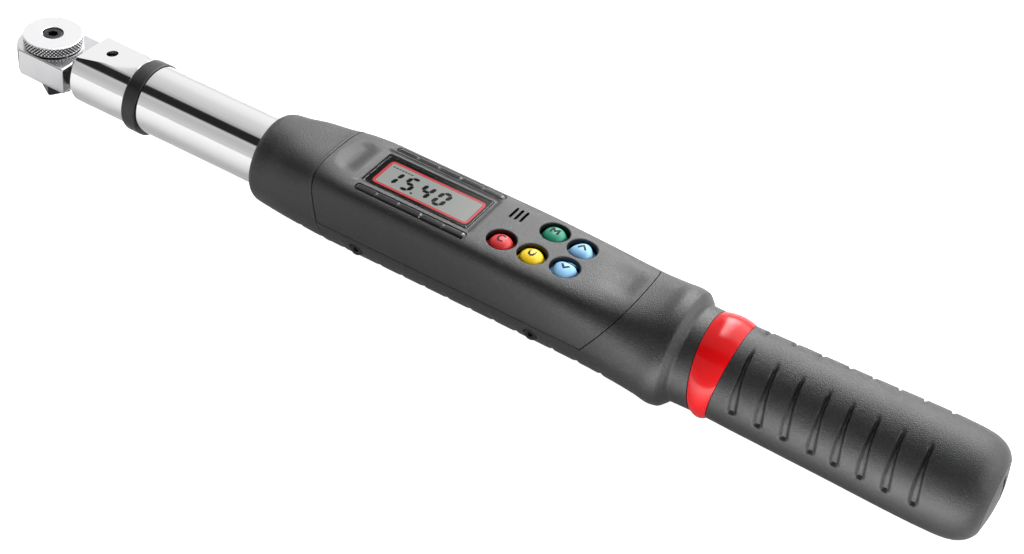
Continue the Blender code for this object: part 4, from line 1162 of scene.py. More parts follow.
@dataclass(frozen=True)
class Housing:
    """Two shells: the lower one with front sleeve and neck, and the cover on top.

    Attributes:
        stations: rows of x, half width, height above the axis, depth below it, corner power.
        ribs: centres of the cross grooves underneath.
        seam: height of the side seam against the axis.
        front: x of the front cross seam at the top and at the side.
        rear: x of the rear cross seam at the top and at the side.
        gap: half width of the seams.
    """

    stations: tuple = (
        (110.8, 16.4, 16.4, 16.4, 2.0),
        (111.4, 17.5, 16.9, 17.7, 2.0),
        (113.2, 18.3, 17.4, 18.6, 2.05),
        (118.0, 18.8, 17.7, 19.1, 2.15),
        (126.0, 19.5, 17.9, 19.6, 2.7),
        (135.0, 20.0, 17.95, 20.0, 3.2),
        (146.0, 20.4, 17.8, 20.3, 4.8),
        (157.0, 20.5, 17.5, 20.4, 6.0),
        (215.0, 20.5, 17.3, 20.4, 6.0),
        (241.0, 20.5, 17.3, 20.5, 5.0),
        (258.0, 20.6, 17.6, 20.7, 3.9),
        (270.0, 21.2, 18.6, 21.2, 2.9),
        (280.0, 22.0, 20.6, 22.0, 2.3),
        (286.0, 22.8, 22.4, 22.8, 2.0),
        (289.0, 22.3, 22.1, 22.3, 2.0),
        (291.2, 20.4, 20.4, 20.4, 2.0),
        (293.0, 18.7, 18.7, 18.7, 2.0),
        (303.5, 18.4, 18.4, 18.4, 2.0),
    )
    ribs: tuple = (134.1, 144.3, 154.4, 170.6, 180.5, 190.4, 200.5, 210.6, 220.6, 230.5, 245.7, 255.9, 266.1)
    rib_half: float = 1.5
    rib_depth: float = 0.95
    seam: float = -3.0
    front: tuple[float, float] = (140.2, 145.0)
    rear: tuple[float, float] = (270.5, 258.5)
    panel: float = 17.2
    gap: float = 0.14
    wall: float = 2.0
    screws: tuple = (162.2, 238.0)
    screw_drop: float = -8.3

    def sizes(self, x: Array) -> list[Array]:
        """Half width, height, depth and corner power at x."""
        table = np.array(self.stations)
        return [flow(x, table[:, 0], table[:, k]) for k in (1, 2, 3, 4)]

    def top(self, x: Array, y: Array) -> Array:
        """Height of the upper surface at plan positions.

        The section above the axis is a superellipse: |y / half|^p + |z / height|^p = 1.

        Args:
            x: positions along the wrench.
            y: positions across it.

        Returns:
            The heights.
        """
        half, height, _, power = self.sizes(x)
        share = np.clip(1.0 - np.abs(y / half) ** power, 1e-6, None)
        return AXIS + height * share ** (1.0 / power) + self.relief(x, y)

    def relief(self, x: Array, y: Array) -> Array:
        """Moulded detail of the top: thumb scoop, display recess and the dent before the shoulder.

        Args:
            x: positions along the wrench.
            y: positions across it.

        Returns:
            What is added to the height.
        """
        side = np.abs(y)
        scoop = ease(x - 0.032 * side**2, 140.9, 146.6) * ease(x, 153.6, 147.6) * ease(side, 10.8, 6.0)
        recess = ease(x, 153.9, 155.6) * ease(x, 205.4, 203.2) * ease(side, 12.0, 11.2)
        dent = ease(x, 252.0, 262.0) * ease(x, 270.5, 264.0) * ease(side, 10.5, 2.5)
        return -0.85 * scoop - 0.45 * recess - 0.7 * dent

    def lip(self, x: Array, z: Array) -> Array:
        """Rounded bead of the sleeve along the front cross seam, from the distance to the seam plane.

        Args:
            x: positions along the wrench.
            z: heights.

        Returns:
            What is added to the radius.
        """
        lean = (self.front[1] - self.front[0]) / (self.panel - self.seam)
        ahead = self.front[1] - lean * (z - AXIS - self.seam) - x
        bead = 0.16 * ease(ahead, 1.6, 0.5) * ease(ahead, -0.4, 0.5)
        return bead - 0.05 * ease(ahead, 0.5, 0.0) * ease(ahead, -0.6, 0.0)

    def rings(
        self,
        x: Array,
        columns: int,
        inset: float = 0.0,
        grooves: bool = False,
        detail: bool = False,
        bead: bool = False,
    ) -> Array:
        """Sections of the housing.

        Above the axis each point of angle t lies at scale * (half cos t, height sin t)
        with scale = (|cos t|^p + |sin t|^p)^(-1/p); below it on an ellipse that the
        cross grooves draw in.

        Args:
            x: positions of the sections.
            columns: points of each section.
            inset: wall thickness for an inner surface.
            grooves: whether the cross grooves are cut.
            detail: whether the moulded detail of the top is added.
            bead: whether the sleeve gets its rounded bead.

        Returns:
            (rows, columns, 3) points.
        """
        half, height, depth, power = [value[:, None] for value in self.sizes(x)]
        t = circle(columns)[None]
        c, s = np.cos(t), np.sin(t)
        scale = (np.abs(c) ** power + np.abs(s) ** power) ** (-1.0 / power)
        away = np.abs(x[:, None] - np.array(self.ribs)[None]).min(1)[:, None]
        groove = self.rib_depth * ease(away, self.rib_half, 0.25) * ease(-s, 0.33, 0.52) if grooves else 0.0
        up = s >= 0.0
        y = np.where(up, (half - inset) * scale * c, (half - inset) * c)
        z = np.where(up, (height - inset) * scale * s, (depth - inset - groove) * s)
        place_x = np.repeat(x[:, None], columns, 1)
        if detail:
            z = z + np.where(s > 0.3, self.relief(place_x, y), 0.0)
        if bead:
            grow = 1.0 + self.lip(place_x, z + AXIS) / np.hypot(y, z)
            y, z = y * grow, z * grow
        return np.stack([place_x, y, z + AXIS], -1)

    def cavity(self) -> Shape:
        """Inner space of both shells."""
        return skin(self.rings(rows(128.0, 157.0, 215.0, 283.0, step=4.0), 64, self.wall))

    def seam_block(self, grow: float) -> Shape:
        """Block above the side seams and between the slanting cross seams.

        Args:
            grow: half width of the gap; negative draws the block in.

        Returns:
            The block.
        """
        low, high = self.seam - grow, 30.0
        lean_front = (self.front[1] - self.front[0]) / (self.panel - self.seam)
        lean_rear = (self.rear[0] - self.rear[1]) / (self.panel - self.seam)
        outline = [
            (self.front[1] - grow, AXIS + low),
            (self.rear[1] + grow, AXIS + low),
            (self.rear[0] + lean_rear * (high - self.panel) + grow, AXIS + high),
            (self.front[0] - lean_front * (high - self.panel) - grow, AXIS + high),
        ]
        return slab(outline, -40.0, 40.0, plane="xz")

    def lower(self) -> None:
        """Lower shell with sleeve, neck, cross grooves, posts and screw recesses."""
        x = rows(110.8, 113.5, step=0.3)
        x = np.concatenate([
            x[:-1], rows(113.5, 138.0, step=0.75)[:-1], rows(138.0, 146.5, step=0.3)[:-1],
            rows(146.5, 284.0, step=0.65)[:-1], rows(284.0, 303.5, step=0.35),
        ])
        shell = skin(self.rings(x, 168, grooves=True, bead=True)).build("housing_shell")
        posts = [lathe([(AXIS - 19.6, 2.8), (AXIS + 5.4, 2.8)], Turn.UPRIGHT, (px, 0.0), 32) for px in (154.6, 262.8)]
        holes = [lathe([(AXIS - 4.0, 1.2), (AXIS + 10.0, 1.2)], Turn.UPRIGHT, (px, 0.0), 24) for px in (154.6, 262.8)]
        carve(
            shell, Cut.TAKE, self.cavity(), self.seam_block(self.gap),
            lathe([(100.0, 14.3), (130.0, 14.3)], Turn.ALONG, count=128),
            lathe([(280.0, 15.8), (310.0, 15.8)], Turn.ALONG, count=128),
            Handle().ring_wedge(0.3),
        )
        carve(shell, Cut.JOIN, posts[0].plus(posts[1]))
        z = AXIS + self.screw_drop
        seats, bores = [], []
        for sx in self.screws:
            for side in (-1.0, 1.0):
                seat = [(side * 17.4, 2.9), (side * 19.2, 2.9), (side * 24.0, 4.1)]
                seats.append(lathe(seat, Turn.ACROSS, (sx, z), 48))
                bores.append(lathe([(side * 14.0, 1.6), (side * 20.0, 1.6)], Turn.ACROSS, (sx, z), 32))
        carve(shell, Cut.TAKE, seats[0].plus(*seats[1:]), bores[0].plus(*bores[1:]), holes[0].plus(holes[1]))
        place(shell, HOUSING, "wrench", "housing_plastic", "lower_housing")

    def sink(self, centre: tuple[float, float], profile: Array, count: int = 72) -> Shape:
        """Hole cutter whose mouth follows the surface.

        Args:
            centre: plan position of the hole.
            profile: (radius, height against the surface) pairs from below to above.
            count: points round it.

        Returns:
            The cutter.
        """
        profile = np.asarray(profile, float)
        t = circle(count)
        x = centre[0] + profile[:, :1] * np.cos(t)
        y = centre[1] + profile[:, :1] * np.sin(t)
        level = self.top(x.ravel(), y.ravel()).reshape(x.shape) + profile[:, 1:]
        deep = profile[:, 1:] < -2.0
        return skin(np.stack([x, y, np.where(deep, AXIS + 10.0, level)], -1))

    def cover(self) -> None:
        """Cover with display recess, light-bar troughs, key holes, sound slots and screw lugs."""
        x = np.concatenate([
            rows(138.0, 158.0, step=0.4)[:-1], rows(158.0, 200.0, step=1.0)[:-1], rows(200.0, 275.0, step=0.5),
        ])
        cover = skin(self.rings(x, 224, detail=True)).build("housing_cover")
        carve(cover, Cut.TAKE, self.cavity())
        carve(cover, Cut.KEEP, self.seam_block(-self.gap))
        lugs, holes = [], []
        for sx in self.screws:
            for side in (-1.0, 1.0):
                wide, slim = (tuple(sorted((side * 12.0, side * reach))) for reach in (19.2, 14.7))
                high = block((sx - 4.0, sx + 4.0), wide, (AXIS - 2.6, AXIS + 3.0))
                low = block((sx - 4.0, sx + 4.0), slim, (AXIS - 10.8, AXIS - 2.0))
                lugs += [high, low]
                bore = [(side * 11.0, 1.5), (side * 17.0, 1.5)]
                holes.append(lathe(bore, Turn.ACROSS, (sx, AXIS + self.screw_drop), 32))
        carve(cover, Cut.JOIN, lugs[0].plus(*lugs[2::2]), lugs[1].plus(*lugs[3::2]))
        window = block((158.7, 200.5), (-8.6, 8.6), (AXIS + 10.0, AXIS + 22.0), 0.8)
        recess = block((156.5, 202.7), (-10.1, 10.1), (AXIS + 15.4, AXIS + 22.0), 1.1)
        mouth = fillet([(5.6, -1.2), (5.6, 0.0), (6.5, 0.02)], [0.0, 0.6, 0.0], False)
        profile = np.concatenate([[(5.6, -5.0)], mouth, [(6.7, 1.5)]])
        keys = [self.sink((key.x, key.y), profile) for key in Keypad().keys]
        tall = (AXIS + 10.0, AXIS + 22.0)
        slots = [block((sx - 0.55, sx + 0.55), (5.3, 12.0), tall, 0.4) for sx in (211.6, 213.8, 216.0)]
        trough = Display().bar_profile(0.3)
        bars = [lathe(trough, Turn.ALONG, (side * 13.8, AXIS + 14.9), 64) for side in (-1.0, 1.0)]
        carve(
            cover, Cut.TAKE, holes[0].plus(*holes[1:]), recess, window, bars[0].plus(bars[1]),
            keys[0].plus(*keys[1:]).plus(*slots))
        place(cover, HOUSING, "wrench", "housing_plastic", "top_cover")

    def build(self) -> None:
        """Both shells."""
        self.lower()
        self.cover()


# ---------------------------------------------------------------- display


@dataclass(frozen=True)
class Display:
    """Window with its printed mask, display face with figures, and the two light bars."""

    front: float = 156.7
    rear: float = 202.5
    half: float = 9.9
    low: float = 15.9
    high: float = 17.15
    border: tuple = (159.4, 201.0, -7.6, 7.5)
    border_width: float = 0.95
    figures: str = "1540"
    figure_height: float = 9.3
    figure_width: float = 4.9
    figure_pitch: float = 7.0
    figure_start: tuple[float, float] = (162.2, -5.3)
    slant: float = 0.12
    stroke: float = 1.6
    bar_front: float = 156.9
    bar_rear: float = 205.0
    bar_radius: float = 2.5
    bar_parts: int = 5

    def bar_profile(self, grow: float) -> Array:
        """Profile of a light bar: a round strip with rounded ends.

        Args:
            grow: clearance for the trough.

        Returns:
            (n, 2) pairs of position and radius.
        """
        t = np.linspace(0.25, 0.5 * math.pi, 8)
        radius = self.bar_radius + grow
        rise = np.stack([self.bar_front - grow + 2.2 * (1.0 - np.cos(t - 0.25)), radius * np.sin(t)], 1)
        fall = np.stack([self.bar_rear + grow - 2.2 * (1.0 - np.cos(t - 0.25)), radius * np.sin(t)], 1)[::-1]
        return np.concatenate([rise, fall])

    def bars(self) -> None:
        """Two light bars with shallow grooves between their five parts."""
        ends = self.bar_profile(0.0)
        middle = rows(float(ends[7, 0]), float(ends[8, 0]), step=0.12)[1:-1]
        cuts = np.linspace(self.bar_front, self.bar_rear, self.bar_parts + 1)[1:-1]
        away = np.abs(middle[:, None] - cuts[None]).min(1)
        radius = self.bar_radius - 0.22 * ease(away, 0.42, 0.1)
        profile = np.concatenate([ends[:8], np.stack([middle, radius], 1), ends[8:]])
        for name, side in (("near", -1.0), ("far", 1.0)):
            bar = lathe(profile, Turn.ALONG, (side * 13.8, AXIS + 14.9), 72)
            place(bar.build("signal_bar_" + name), BAR, "wrench", "black_plastic", "light_bar_" + name)

    def segments(self, figure: str) -> Array:
        """Middle points, half lengths and directions of the lit bars of one figure.

        The seven bars of a figure run over a box of unit width and height two.

        Args:
            figure: a digit.

        Returns:
            (n, 3) rows of place across, place up and 1 where upright.
        """
        table = {
            "0": "abcdef", "1": "bc", "2": "abged", "3": "abgcd", "4": "fgbc",
            "5": "afgcd", "6": "afgecd", "7": "abc", "8": "abcdefg", "9": "abcdfg",
        }
        bars = {"a": (0.5, 2.0, 0), "b": (1.0, 1.5, 1), "c": (1.0, 0.5, 1), "d": (0.5, 0.0, 0),
                "e": (0.0, 0.5, 1), "f": (0.0, 1.5, 1), "g": (0.5, 1.0, 0)}
        return np.array([bars[letter] for letter in table[figure]], float)

    def figure(self, number: int, figure: str) -> list[Shape]:
        """Lit bars of one figure as thin plates with pointed ends.

        Args:
            number: place of the figure in the row.
            figure: a digit.

        Returns:
            The plates.
        """
        width, tall = self.figure_width - self.stroke, (self.figure_height - self.stroke) / 2.0
        plates = []
        for u, v, upright in self.segments(figure):
            reach = (tall if upright else width) / 2.0 - 0.12
            t = self.stroke / 2.0
            points = np.array([
                (-reach, 0.0), (-reach + t, t), (reach - t, t), (reach, 0.0), (reach - t, -t), (-reach + t, -t),
            ])
            if upright:
                points = points[:, ::-1]
            points = points + (u * width + t, v * tall + t)
            x = self.figure_start[0] + number * self.figure_pitch + points[:, 0] + self.slant * points[:, 1]
            y = self.figure_start[1] + points[:, 1]
            plates.append(slab(np.stack([x, y], 1), AXIS + 15.80, AXIS + 15.83))
        return plates

    def screen(self) -> None:
        """Mask, face, red border line, figures and the row of small marks."""
        x0, x1, y0, y1 = self.border
        long, across = (self.front + 0.3, self.rear - 0.3), (-self.half + 0.3, self.half - 0.3)
        mask = block(long, across, (AXIS + 15.55, AXIS + 15.72), 0.9)
        place(mask.build("window_mask"), MASK, "wrench", "black_plastic")
        face = block((x0 + 1.1, x1 - 1.1), (y0 + 1.1, y1 - 1.1), (AXIS + 15.70, AXIS + 15.78), 1.0)
        place(face.build("display_face"), FACE, "wrench", "lcd_glass")
        outer = fillet([(x0, y0), (x1, y0), (x1, y1), (x0, y1)], 2.0, True, 9)
        w = self.border_width
        inner = fillet([(x0 + w, y0 + w), (x1 - w, y0 + w), (x1 - w, y1 - w), (x0 + w, y1 - w)], 1.5, True, 9)
        levels = [(outer, 15.70), (outer, 15.80), (inner, 15.80), (inner, 15.70)]
        rings = [np.column_stack([points, np.full(len(points), AXIS + z)]) for points, z in levels]
        line = skin(np.stack(rings), True)
        place(line.build("border_line"), BORDER, "wrench", "red_plastic")
        plates = [plate for number, figure in enumerate(self.figures) for plate in self.figure(number, figure)]
        dot = self.figure_start[0] + 2.0 * self.figure_pitch - 0.85
        foot, thin = self.figure_start[1], (AXIS + 15.80, AXIS + 15.83)
        plates.append(block((dot - 0.45, dot + 0.45), (foot, foot + 0.9), thin, 0.2))
        plates += [block((161.6 + 1.3 * k, 162.5 + 1.3 * k), (4.2, 4.7), thin) for k in range(7)]
        place(plates[0].plus(*plates[1:]).build("display_figures"), SEGMENT, "wrench", "lcd_glass")

    def window(self) -> None:
        """Clear plate over the display."""
        thick = (AXIS + self.low, AXIS + self.high)
        plate = block((self.front, self.rear), (-self.half, self.half), thick, 1.0, 0.25)
        place(plate.build("clear_plate"), WINDOW, "wrench", "lens_glass", "display_lens")

    def build(self) -> None:
        """All pieces of the display."""
        self.screen()
        self.window()
        self.bars()


# ---------------------------------------------------------------- keys


@dataclass(frozen=True)
class Key:
    """One key: its node, body, place, finish, slot, legend and how three-cornered it is."""

    node: str
    body: str
    x: float
    y: float
    finish: Finish
    slot: str
    legend: str
    corner: float = 0.0


@dataclass(frozen=True)
class Keypad:
    """Five domed keys with printed legends."""

    keys: tuple = (
        Key("button_clear", "clear_key", 215.9, -7.4, KEY_RED, "red_plastic", "clear"),
        Key("button_units", "units_key", 228.7, -7.4, KEY_YELLOW, "yellow_plastic", "units"),
        Key("button_menu", "menu_key", 229.2, 8.4, KEY_GREEN, "green_plastic", "menu"),
        Key("button_up", "up_key", 241.7, 6.5, KEY_BLUE, "blue_plastic", "up", 1.0),
        Key("button_down", "down_key", 241.7, -6.5, KEY_BLUE, "blue_plastic", "down", -1.0),
    )
    radius: float = 4.4
    rim: float = 15.2
    crown: float = 17.9
    columns: int = 72

    def dome(self, share: Array) -> Array:
        """Height of a cap at a share of its radius."""
        return AXIS + self.rim + (self.crown - self.rim) * (1.0 - np.clip(share, 0.0, 1.0) ** 2.3) ** 0.62

    def legend(self, name: str) -> list[Array]:
        """Strokes of a legend in plan, about the middle of the key.

        Args:
            name: name of the legend.

        Returns:
            Its strokes, each (n, 2).
        """
        arc = np.radians(np.linspace(45.0, 315.0, 24))
        clear = np.stack([1.25 * np.cos(arc), 1.45 * np.sin(arc)], 1)
        cup = np.radians(np.linspace(180.0, 360.0, 16))
        bowl = np.stack([0.95 * np.cos(cup), 0.95 * np.sin(cup) - 0.4], 1)
        strokes = {
            "clear": [clear],
            "units": [np.concatenate([[(-0.95, 1.3)], bowl, [(0.95, 1.3)]])],
            "menu": [self.dense([(-1.3, -1.3), (-1.3, 1.3), (0.0, -0.4), (1.3, 1.3), (1.3, -1.3)])],
            "up": [self.dense([(-1.5, -0.8), (0.0, 1.1), (1.5, -0.8)])],
            "down": [self.dense([(-1.5, 0.8), (0.0, -1.1), (1.5, 0.8)])],
        }
        return strokes[name]

    def dense(self, corners: list) -> Array:
        """Polyline with close points, its corners hardly eased.

        Args:
            corners: corner points in order.

        Returns:
            (n, 2) points.
        """
        points = fillet(corners, 0.12, False, 5)
        along = np.concatenate([[0.0], np.cumsum(np.linalg.norm(np.diff(points, axis=0), axis=1))])
        at = np.union1d(np.linspace(0.0, along[-1], 24), along)
        at = at[np.concatenate([[True], np.diff(at) > 1e-4])]
        return np.stack([np.interp(at, along, points[:, 0]), np.interp(at, along, points[:, 1])], 1)

    def cap(self, key: Key) -> Shape:
        """Key from stem to dome; the outline of a three-cornered key swells at three places.

        Args:
            key: the key.

        Returns:
            The surface.
        """
        share = np.concatenate([np.linspace(1.0, 0.9, 6), np.linspace(0.86, 0.04, 16)])
        low = [
            (AXIS + 9.9, 2.2), (AXIS + 12.2, 2.2), (AXIS + 12.2, 5.9), (AXIS + 13.3, 5.9),
            (AXIS + 13.3, self.radius),
        ]
        stem = fillet(low, [0.0, 0.0, 0.25, 0.25, 0.0], False)
        profile = np.concatenate([stem, np.stack([self.dome(share), share * self.radius], 1)])
        t = circle(self.columns)
        round_cap = profile[:, 0] > AXIS + 13.2
        lobes = np.cos(3.0 * (t - key.corner * math.pi / 2.0))
        swell = 1.0 + 0.075 * abs(key.corner) * lobes - 0.02 * abs(key.corner)
        radius = profile[:, 1:] * np.where(round_cap[:, None] & (profile[:, 1:] < 5.5), swell, 1.0)
        x, y = key.x + radius * np.cos(t), key.y + radius * np.sin(t)
        return skin(np.stack([x, y, np.repeat(profile[:, :1], len(t), 1)], -1))

    def build(self) -> None:
        """All keys and their legends."""
        for key in self.keys:
            place(self.cap(key).build("key_" + key.legend), key.finish, key.body, key.slot, key.node)
            marks = []
            for path in self.legend(key.legend):
                height = self.dome(np.hypot(path[:, 0], path[:, 1]) / self.radius)
                marks.append(ribbon(path + (key.x, key.y), 0.80, height - 0.12, height + 0.05))
            place(marks[0].plus(*marks[1:]).build("legend_" + key.legend), PRINT, key.body, "black_plastic")


# ---------------------------------------------------------------- handle


@dataclass(frozen=True)
class Handle:
    """Red ring, grooved grip and the screw cap of the battery space."""

    ring_radius: float = 19.5
    ring_edge: float = 18.45
    ring_bore: float = 15.8
    ring_front: tuple[float, float] = (297.5, 302.4)
    ring_rear: tuple[float, float] = (310.2, 306.6)
    profile: tuple = (
        (300.0, 18.3), (330.0, 18.9), (350.0, 19.3), (386.0, 20.1), (393.0, 20.0), (397.0, 19.7), (400.0, 19.1),
        (402.6, 18.0), (404.6, 16.5), (405.9, 14.9), (406.6, 13.6),
    )
    grooves: tuple = (316.3, 326.2, 336.0, 346.2, 355.0, 364.5, 373.7, 383.8)
    lean: float = 2.2
    groove_depth: float = 1.25
    rear: float = 406.6

    def ring_planes(self, z: Array) -> tuple[Array, Array]:
        """x of the front and rear faces of the ring at a height against the axis.

        Args:
            z: heights against the axis.

        Returns:
            The front and the rear positions.
        """
        share = (z + self.ring_radius) / (2.0 * self.ring_radius)
        front = self.ring_front[1] + (self.ring_front[0] - self.ring_front[1]) * share
        back = self.ring_rear[1] + (self.ring_rear[0] - self.ring_rear[1]) * share
        return front, back

    def ring_wedge(self, grow: float) -> Shape:
        """Slanting block that bounds the ring, let out by grow.

        Args:
            grow: distance to the ring's own faces.

        Returns:
            The block.
        """
        (f0, b0), (f1, b1) = (self.ring_planes(np.float64(z)) for z in (-26.0, 26.0))
        outline = [
            (f0 - grow, AXIS - 26.0), (b0 + grow, AXIS - 26.0), (b1 + grow, AXIS + 26.0), (f1 - grow, AXIS + 26.0),
        ]
        return slab(outline, -40.0, 40.0, plane="xz")

    def ring(self) -> None:
        """Red ring, wider at the top than below, swelling between its two faces."""
        t = circle(160)
        u = np.linspace(0.0, 1.0, 25)[:, None]
        front, back = self.ring_planes(self.ring_radius * np.sin(t)[None])
        swell = self.ring_edge + (self.ring_radius - self.ring_edge) * np.sin(math.pi * u) ** 0.75
        outer_x = front + (back - front) * u
        edge_x = np.stack([back[0], front[0]])
        x = np.concatenate([outer_x, edge_x])
        radius = np.concatenate([np.repeat(swell, len(t), 1), np.full((2, len(t)), self.ring_bore)])
        ring = skin(np.stack([x, radius * np.cos(t), AXIS + radius * np.sin(t)], -1), True)
        place(ring.build("colour_ring"), RED_GLOSS, "wrench", "red_gloss", "red_ring")

    def groove(self, x: Array, z: Array) -> Array:
        """Depth of the finger grooves.

        Each groove leans back towards its lower end, is narrow at the top and
        wide at the parting line, and fades out at both ends.

        Args:
            x: positions along the wrench.
            z: heights against the axis.

        Returns:
            The depths.
        """
        drop = np.clip((18.0 - z) / 20.5, 0.0, 1.0)
        depth = np.zeros_like(x)
        width = 0.9 + 1.3 * ease(drop, 0.0, 0.75)
        for centre in self.grooves:
            away = np.abs(x - (centre - self.lean / 2.0 + self.lean * drop)) / width
            depth = np.maximum(depth, ease(away, 1.0, 0.2))
        return self.groove_depth * depth * ease(z, 18.4, 16.4) * ease(z, -1.2, 0.2)

    def grip(self) -> None:
        """Grip sleeve: slow swell, leaning grooves on both flanks, rounded end with the cap hole."""
        table = np.array(self.profile)
        t = circle(216)[None]
        x = rows(303.0, 312.0, 388.0, 396.0, self.rear, step=0.42)[:, None]
        radius = flow(x[:, 0], table[:, 0], table[:, 1])[:, None]
        _, back = self.ring_planes(radius * np.sin(t))
        shift = (back + 0.25 - 303.0) * ease(x, 318.0, 303.0)
        place_x = x + shift
        z = radius * np.sin(t)
        reach = radius - self.groove(place_x, z)
        outer = np.stack([place_x, reach * np.cos(t), AXIS + reach * np.sin(t)], -1)
        inner_r = np.array([13.3, 13.3, 15.8, 15.8])[:, None]
        front_x = place_x[:1]
        mouth, floor = np.full((1, t.shape[1]), self.rear - 0.5), np.full((2, t.shape[1]), 399.4)
        inner_x = np.concatenate([mouth, floor, front_x])
        inner = np.stack([inner_x, inner_r * np.cos(t), AXIS + inner_r * np.sin(t)], -1)
        grip = skin(np.concatenate([outer, inner]), True).build("grip_moulding")
        place(grip, GRIP, "wrench", "grip_plastic", "grip_sleeve")

    def cap(self) -> None:
        """Screw cap with a shallow dome and a coin slot."""
        profile = fillet([
            (389.7, 1.0), (389.7, 3.0), (391.4, 3.0), (391.4, 12.9), (400.0, 12.9), (400.0, 11.7), (402.4, 11.7),
            (402.4, 13.0), (406.7, 13.0), (407.9, 7.0), (408.4, 0.5),
        ], [0.0, 0.2, 0.0, 0.3, 0.2, 0.0, 0.0, 0.2, 0.5, 3.0, 0.0], False)
        cap = lathe(profile, Turn.ALONG, count=144).build("screw_cap")
        outline = fillet([(-1.3, -10.0), (1.3, -10.0), (1.3, 10.0), (-1.3, 10.0)], 0.6, True) + (0.0, AXIS)
        slot = slab(outline, 405.6, 412.0, plane="yz")
        place(carve(cap, Cut.TAKE, slot), GRIP, "cap", "grip_plastic", "battery_cap")

    def build(self) -> None:
        """All pieces of the handle."""
        self.ring()
        self.grip()
        self.cap()


# ---------------------------------------------------------------- inner parts


@dataclass(frozen=True)
class InnerParts:
    """Solids that are shown as they are, with the finish of each."""

    finishes: tuple = (
        (BLACKED, (
            "head_cover", "housing_screw_front_near", "housing_screw_rear_near", "housing_screw_front_far",
            "housing_screw_rear_far")),
        (STEEL, (
            "pawl_pin", "pawl", "catch_spring", "detent_spring", "beam_pin", "board_screw_front",
            "board_screw_rear", "handle_tube", "contact_spring")),
        (FOIL, ("gauge_near", "gauge_far")),
        (PANEL, ("lcd_panel",)),
        (WHITE, ("lcd_holder", "led_strip_near", "led_strip_far")),
        (SEAL, ("buzzer", "battery_tube")),
        (BOARD, ("circuit_board",)),
        (RUBBER, ("keypad_mat", "cap_seal")),
        (WRAP, ("battery_front", "battery_rear")),
        (BRASS, ("contact_plate",)),
    )

    def build(self) -> None:
        """Dress every solid that stays."""
        for finish, nodes in self.finishes:
            for node in nodes:
                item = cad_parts[node]
                item.data.materials.clear()
                item.data.materials.append(finish.material())
                LOG.info("%s: kept, %s", node, finish.name)


# ---------------------------------------------------------------- studio


@dataclass(frozen=True)
class SoftBox:
    """A long soft light in the sky, or with a negative strength a dark flag.

    Attributes:
        around: start, end and width of the soft edges of its angle about the long axis, in degrees.
        along: where it starts to show and where it is full, as the cosine against +X.
        fade: where it starts to weaken and where it is weakest, as the cosine against +X.
        strength: brightness it adds.
        last: share of the brightness left where it is weakest.
    """

    around: tuple[float, float, float]
    along: tuple[float, float]
    fade: tuple[float, float]
    strength: float
    last: float


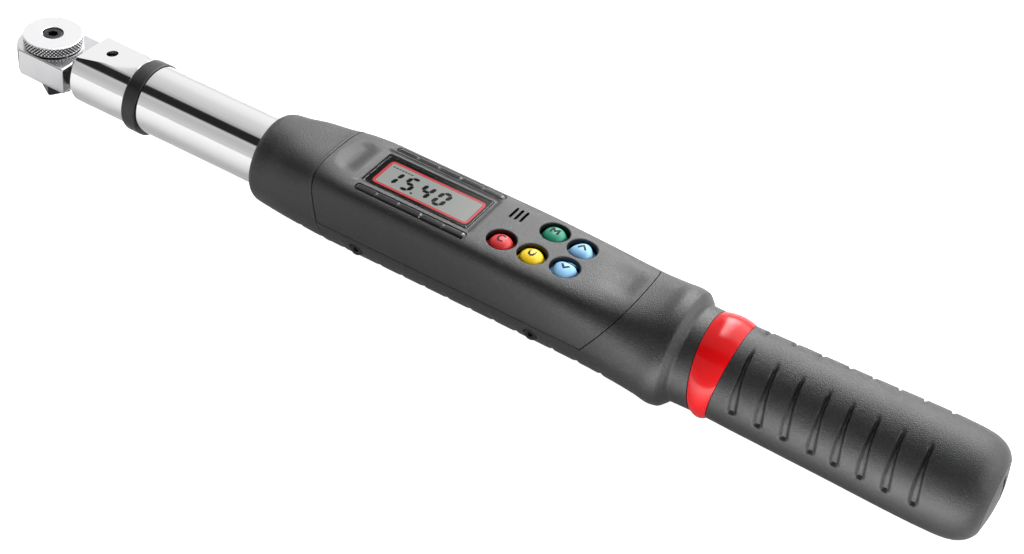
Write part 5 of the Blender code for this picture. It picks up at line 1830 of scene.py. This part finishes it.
@dataclass(frozen=True)
class Studio:
    """Pale floor, soft surrounding light and the camera."""

    floor_level: float = -3.95
    floor_size: float = 6.0
    eye: tuple[float, float, float] = (0.434454, -0.457812, 0.444166)
    azimuth: float = 25.23
    elevation: float = 40.32
    roll: float = 8.56
    lens: float = 63.31
    sky_strength: float = 4.0
    sky: tuple = (
        (-180.0, 0.70), (-40.0, 0.66), (-10.0, 0.74), (7.0, 0.66), (17.0, 0.58), (28.0, 0.54), (40.0, 0.60),
        (44.5, 0.02), (67.5, 0.02), (72.0, 0.46), (87.0, 0.64), (107.0, 0.74), (117.0, 0.82), (127.0, 0.93),
        (140.0, 1.00), (157.0, 1.04), (170.0, 0.94), (180.0, 0.74),
    )
    boxes: tuple = (
        SoftBox((98.0, 174.0, 16.0), (-0.352, -0.295), (-0.24, -0.06), 11.0, 0.22),
        SoftBox((54.0, 102.0, 18.0), (0.70, 0.78), (0.84, 0.90), 8.0, 0.0),
        SoftBox((122.0, 158.0, 10.0), (-0.455, -0.43), (-0.385, -0.345), -0.9, 0.0),
    )

    def world(self) -> None:
        """Sky whose brightness depends on the angle about the long axis, with soft lobes added."""
        world = bpy.data.worlds.new("studio_sky")
        bpy.context.scene.world = world
        world.use_nodes = True
        tree = Tree(world.node_tree)
        where = tree.add("TexCoord").outputs["Generated"]
        split = tree.add("SeparateXYZ", {0: where})
        angle = tree.maths("ARCTAN2", split.outputs[2], tree.maths("MULTIPLY", split.outputs[1], -1.0))
        ramp = tree.add("ValToRGB", {0: tree.span(angle, -math.pi, math.pi)})
        stops = ramp.color_ramp.elements
        ramp.color_ramp.interpolation = "EASE"
        while len(stops) < len(self.sky):
            stops.new(0.5)
        for stop, (degrees, value) in zip(stops, self.sky):
            stop.position = (degrees + 180.0) / 360.0
            level = value / self.sky_strength
            stop.color = (level, level, level, 1.0)
        total = tree.maths("MULTIPLY", ramp.outputs[0], self.sky_strength)
        degrees = tree.maths("MULTIPLY", angle, 180.0 / math.pi)
        for box in self.boxes:
            start, end, soft = box.around
            rise = tree.span(degrees, start, start + soft, 0.0, box.strength, True)
            fall = tree.span(degrees, end, end - soft, smooth=True)
            full = tree.span(split.outputs[0], *box.along, smooth=True)
            shown = tree.maths("MULTIPLY", full, tree.span(split.outputs[0], *box.fade, 1.0, box.last))
            total = tree.maths("ADD", total, tree.maths("MULTIPLY", rise, tree.maths("MULTIPLY", fall, shown)))
        shade = tree.add("Background", {"Color": (1.0, 1.0, 1.0, 1.0), "Strength": total})
        tree.add("OutputWorld", {"Surface": shade.outputs[0]})

    def floor(self) -> None:
        """Wide pale floor just under the lowest point of the wrench."""
        half = self.floor_size / MM / 2.0
        corners = [(-half, -half), (half, -half), (half, half), (-half, half)]
        plane = slab(fillet(corners, half / 3.0, True, 12), self.floor_level - 10.0, self.floor_level).build("floor")
        finish = PaleFloor("pale_floor", (0.56, 0.56, 0.56), 0.75, 0.80, 0.0, 800.0, 0.0, 1.0)
        plane.data.materials.append(finish.material())

    def camera(self) -> None:
        """Camera turned by azimuth, elevation and roll about its own place."""
        a, e, r = (math.radians(value) for value in (self.azimuth, self.elevation, self.roll))
        back = np.array([math.sin(a) * math.cos(e), -math.cos(a) * math.cos(e), math.sin(e)])
        level = np.array([math.cos(a), math.sin(a), 0.0])
        upright = np.cross(back, level)
        right = math.cos(r) * level + math.sin(r) * upright
        up = -math.sin(r) * level + math.cos(r) * upright
        data = bpy.data.cameras.new("camera")
        data.lens, data.sensor_width, data.clip_start, data.clip_end = self.lens, 36.0, 0.01, 50.0
        camera = bpy.data.objects.new("camera", data)
        bpy.context.scene.collection.objects.link(camera)
        matrix = np.eye(4)
        matrix[:3, 0], matrix[:3, 1], matrix[:3, 2], matrix[:3, 3] = right, up, back, self.eye
        camera.matrix_world = Matrix(matrix.tolist())
        bpy.context.scene.camera = camera

    def build(self) -> None:
        """Camera, sky and floor."""
        self.camera()
        self.world()
        self.floor()
        bpy.context.scene.view_settings.view_transform = "Standard"


def main() -> None:
    """Build every piece in order."""
    logging.basicConfig(level=logging.INFO, format="%(message)s")
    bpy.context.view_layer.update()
    studio = Studio()
    studio.build()
    for part in (Head(), Shaft(), Housing(), Display(), Keypad(), Handle(), InnerParts()):
        LOG.info("building %s", type(part).__name__)
        part.build()


if __name__ == "__main__":
    main()
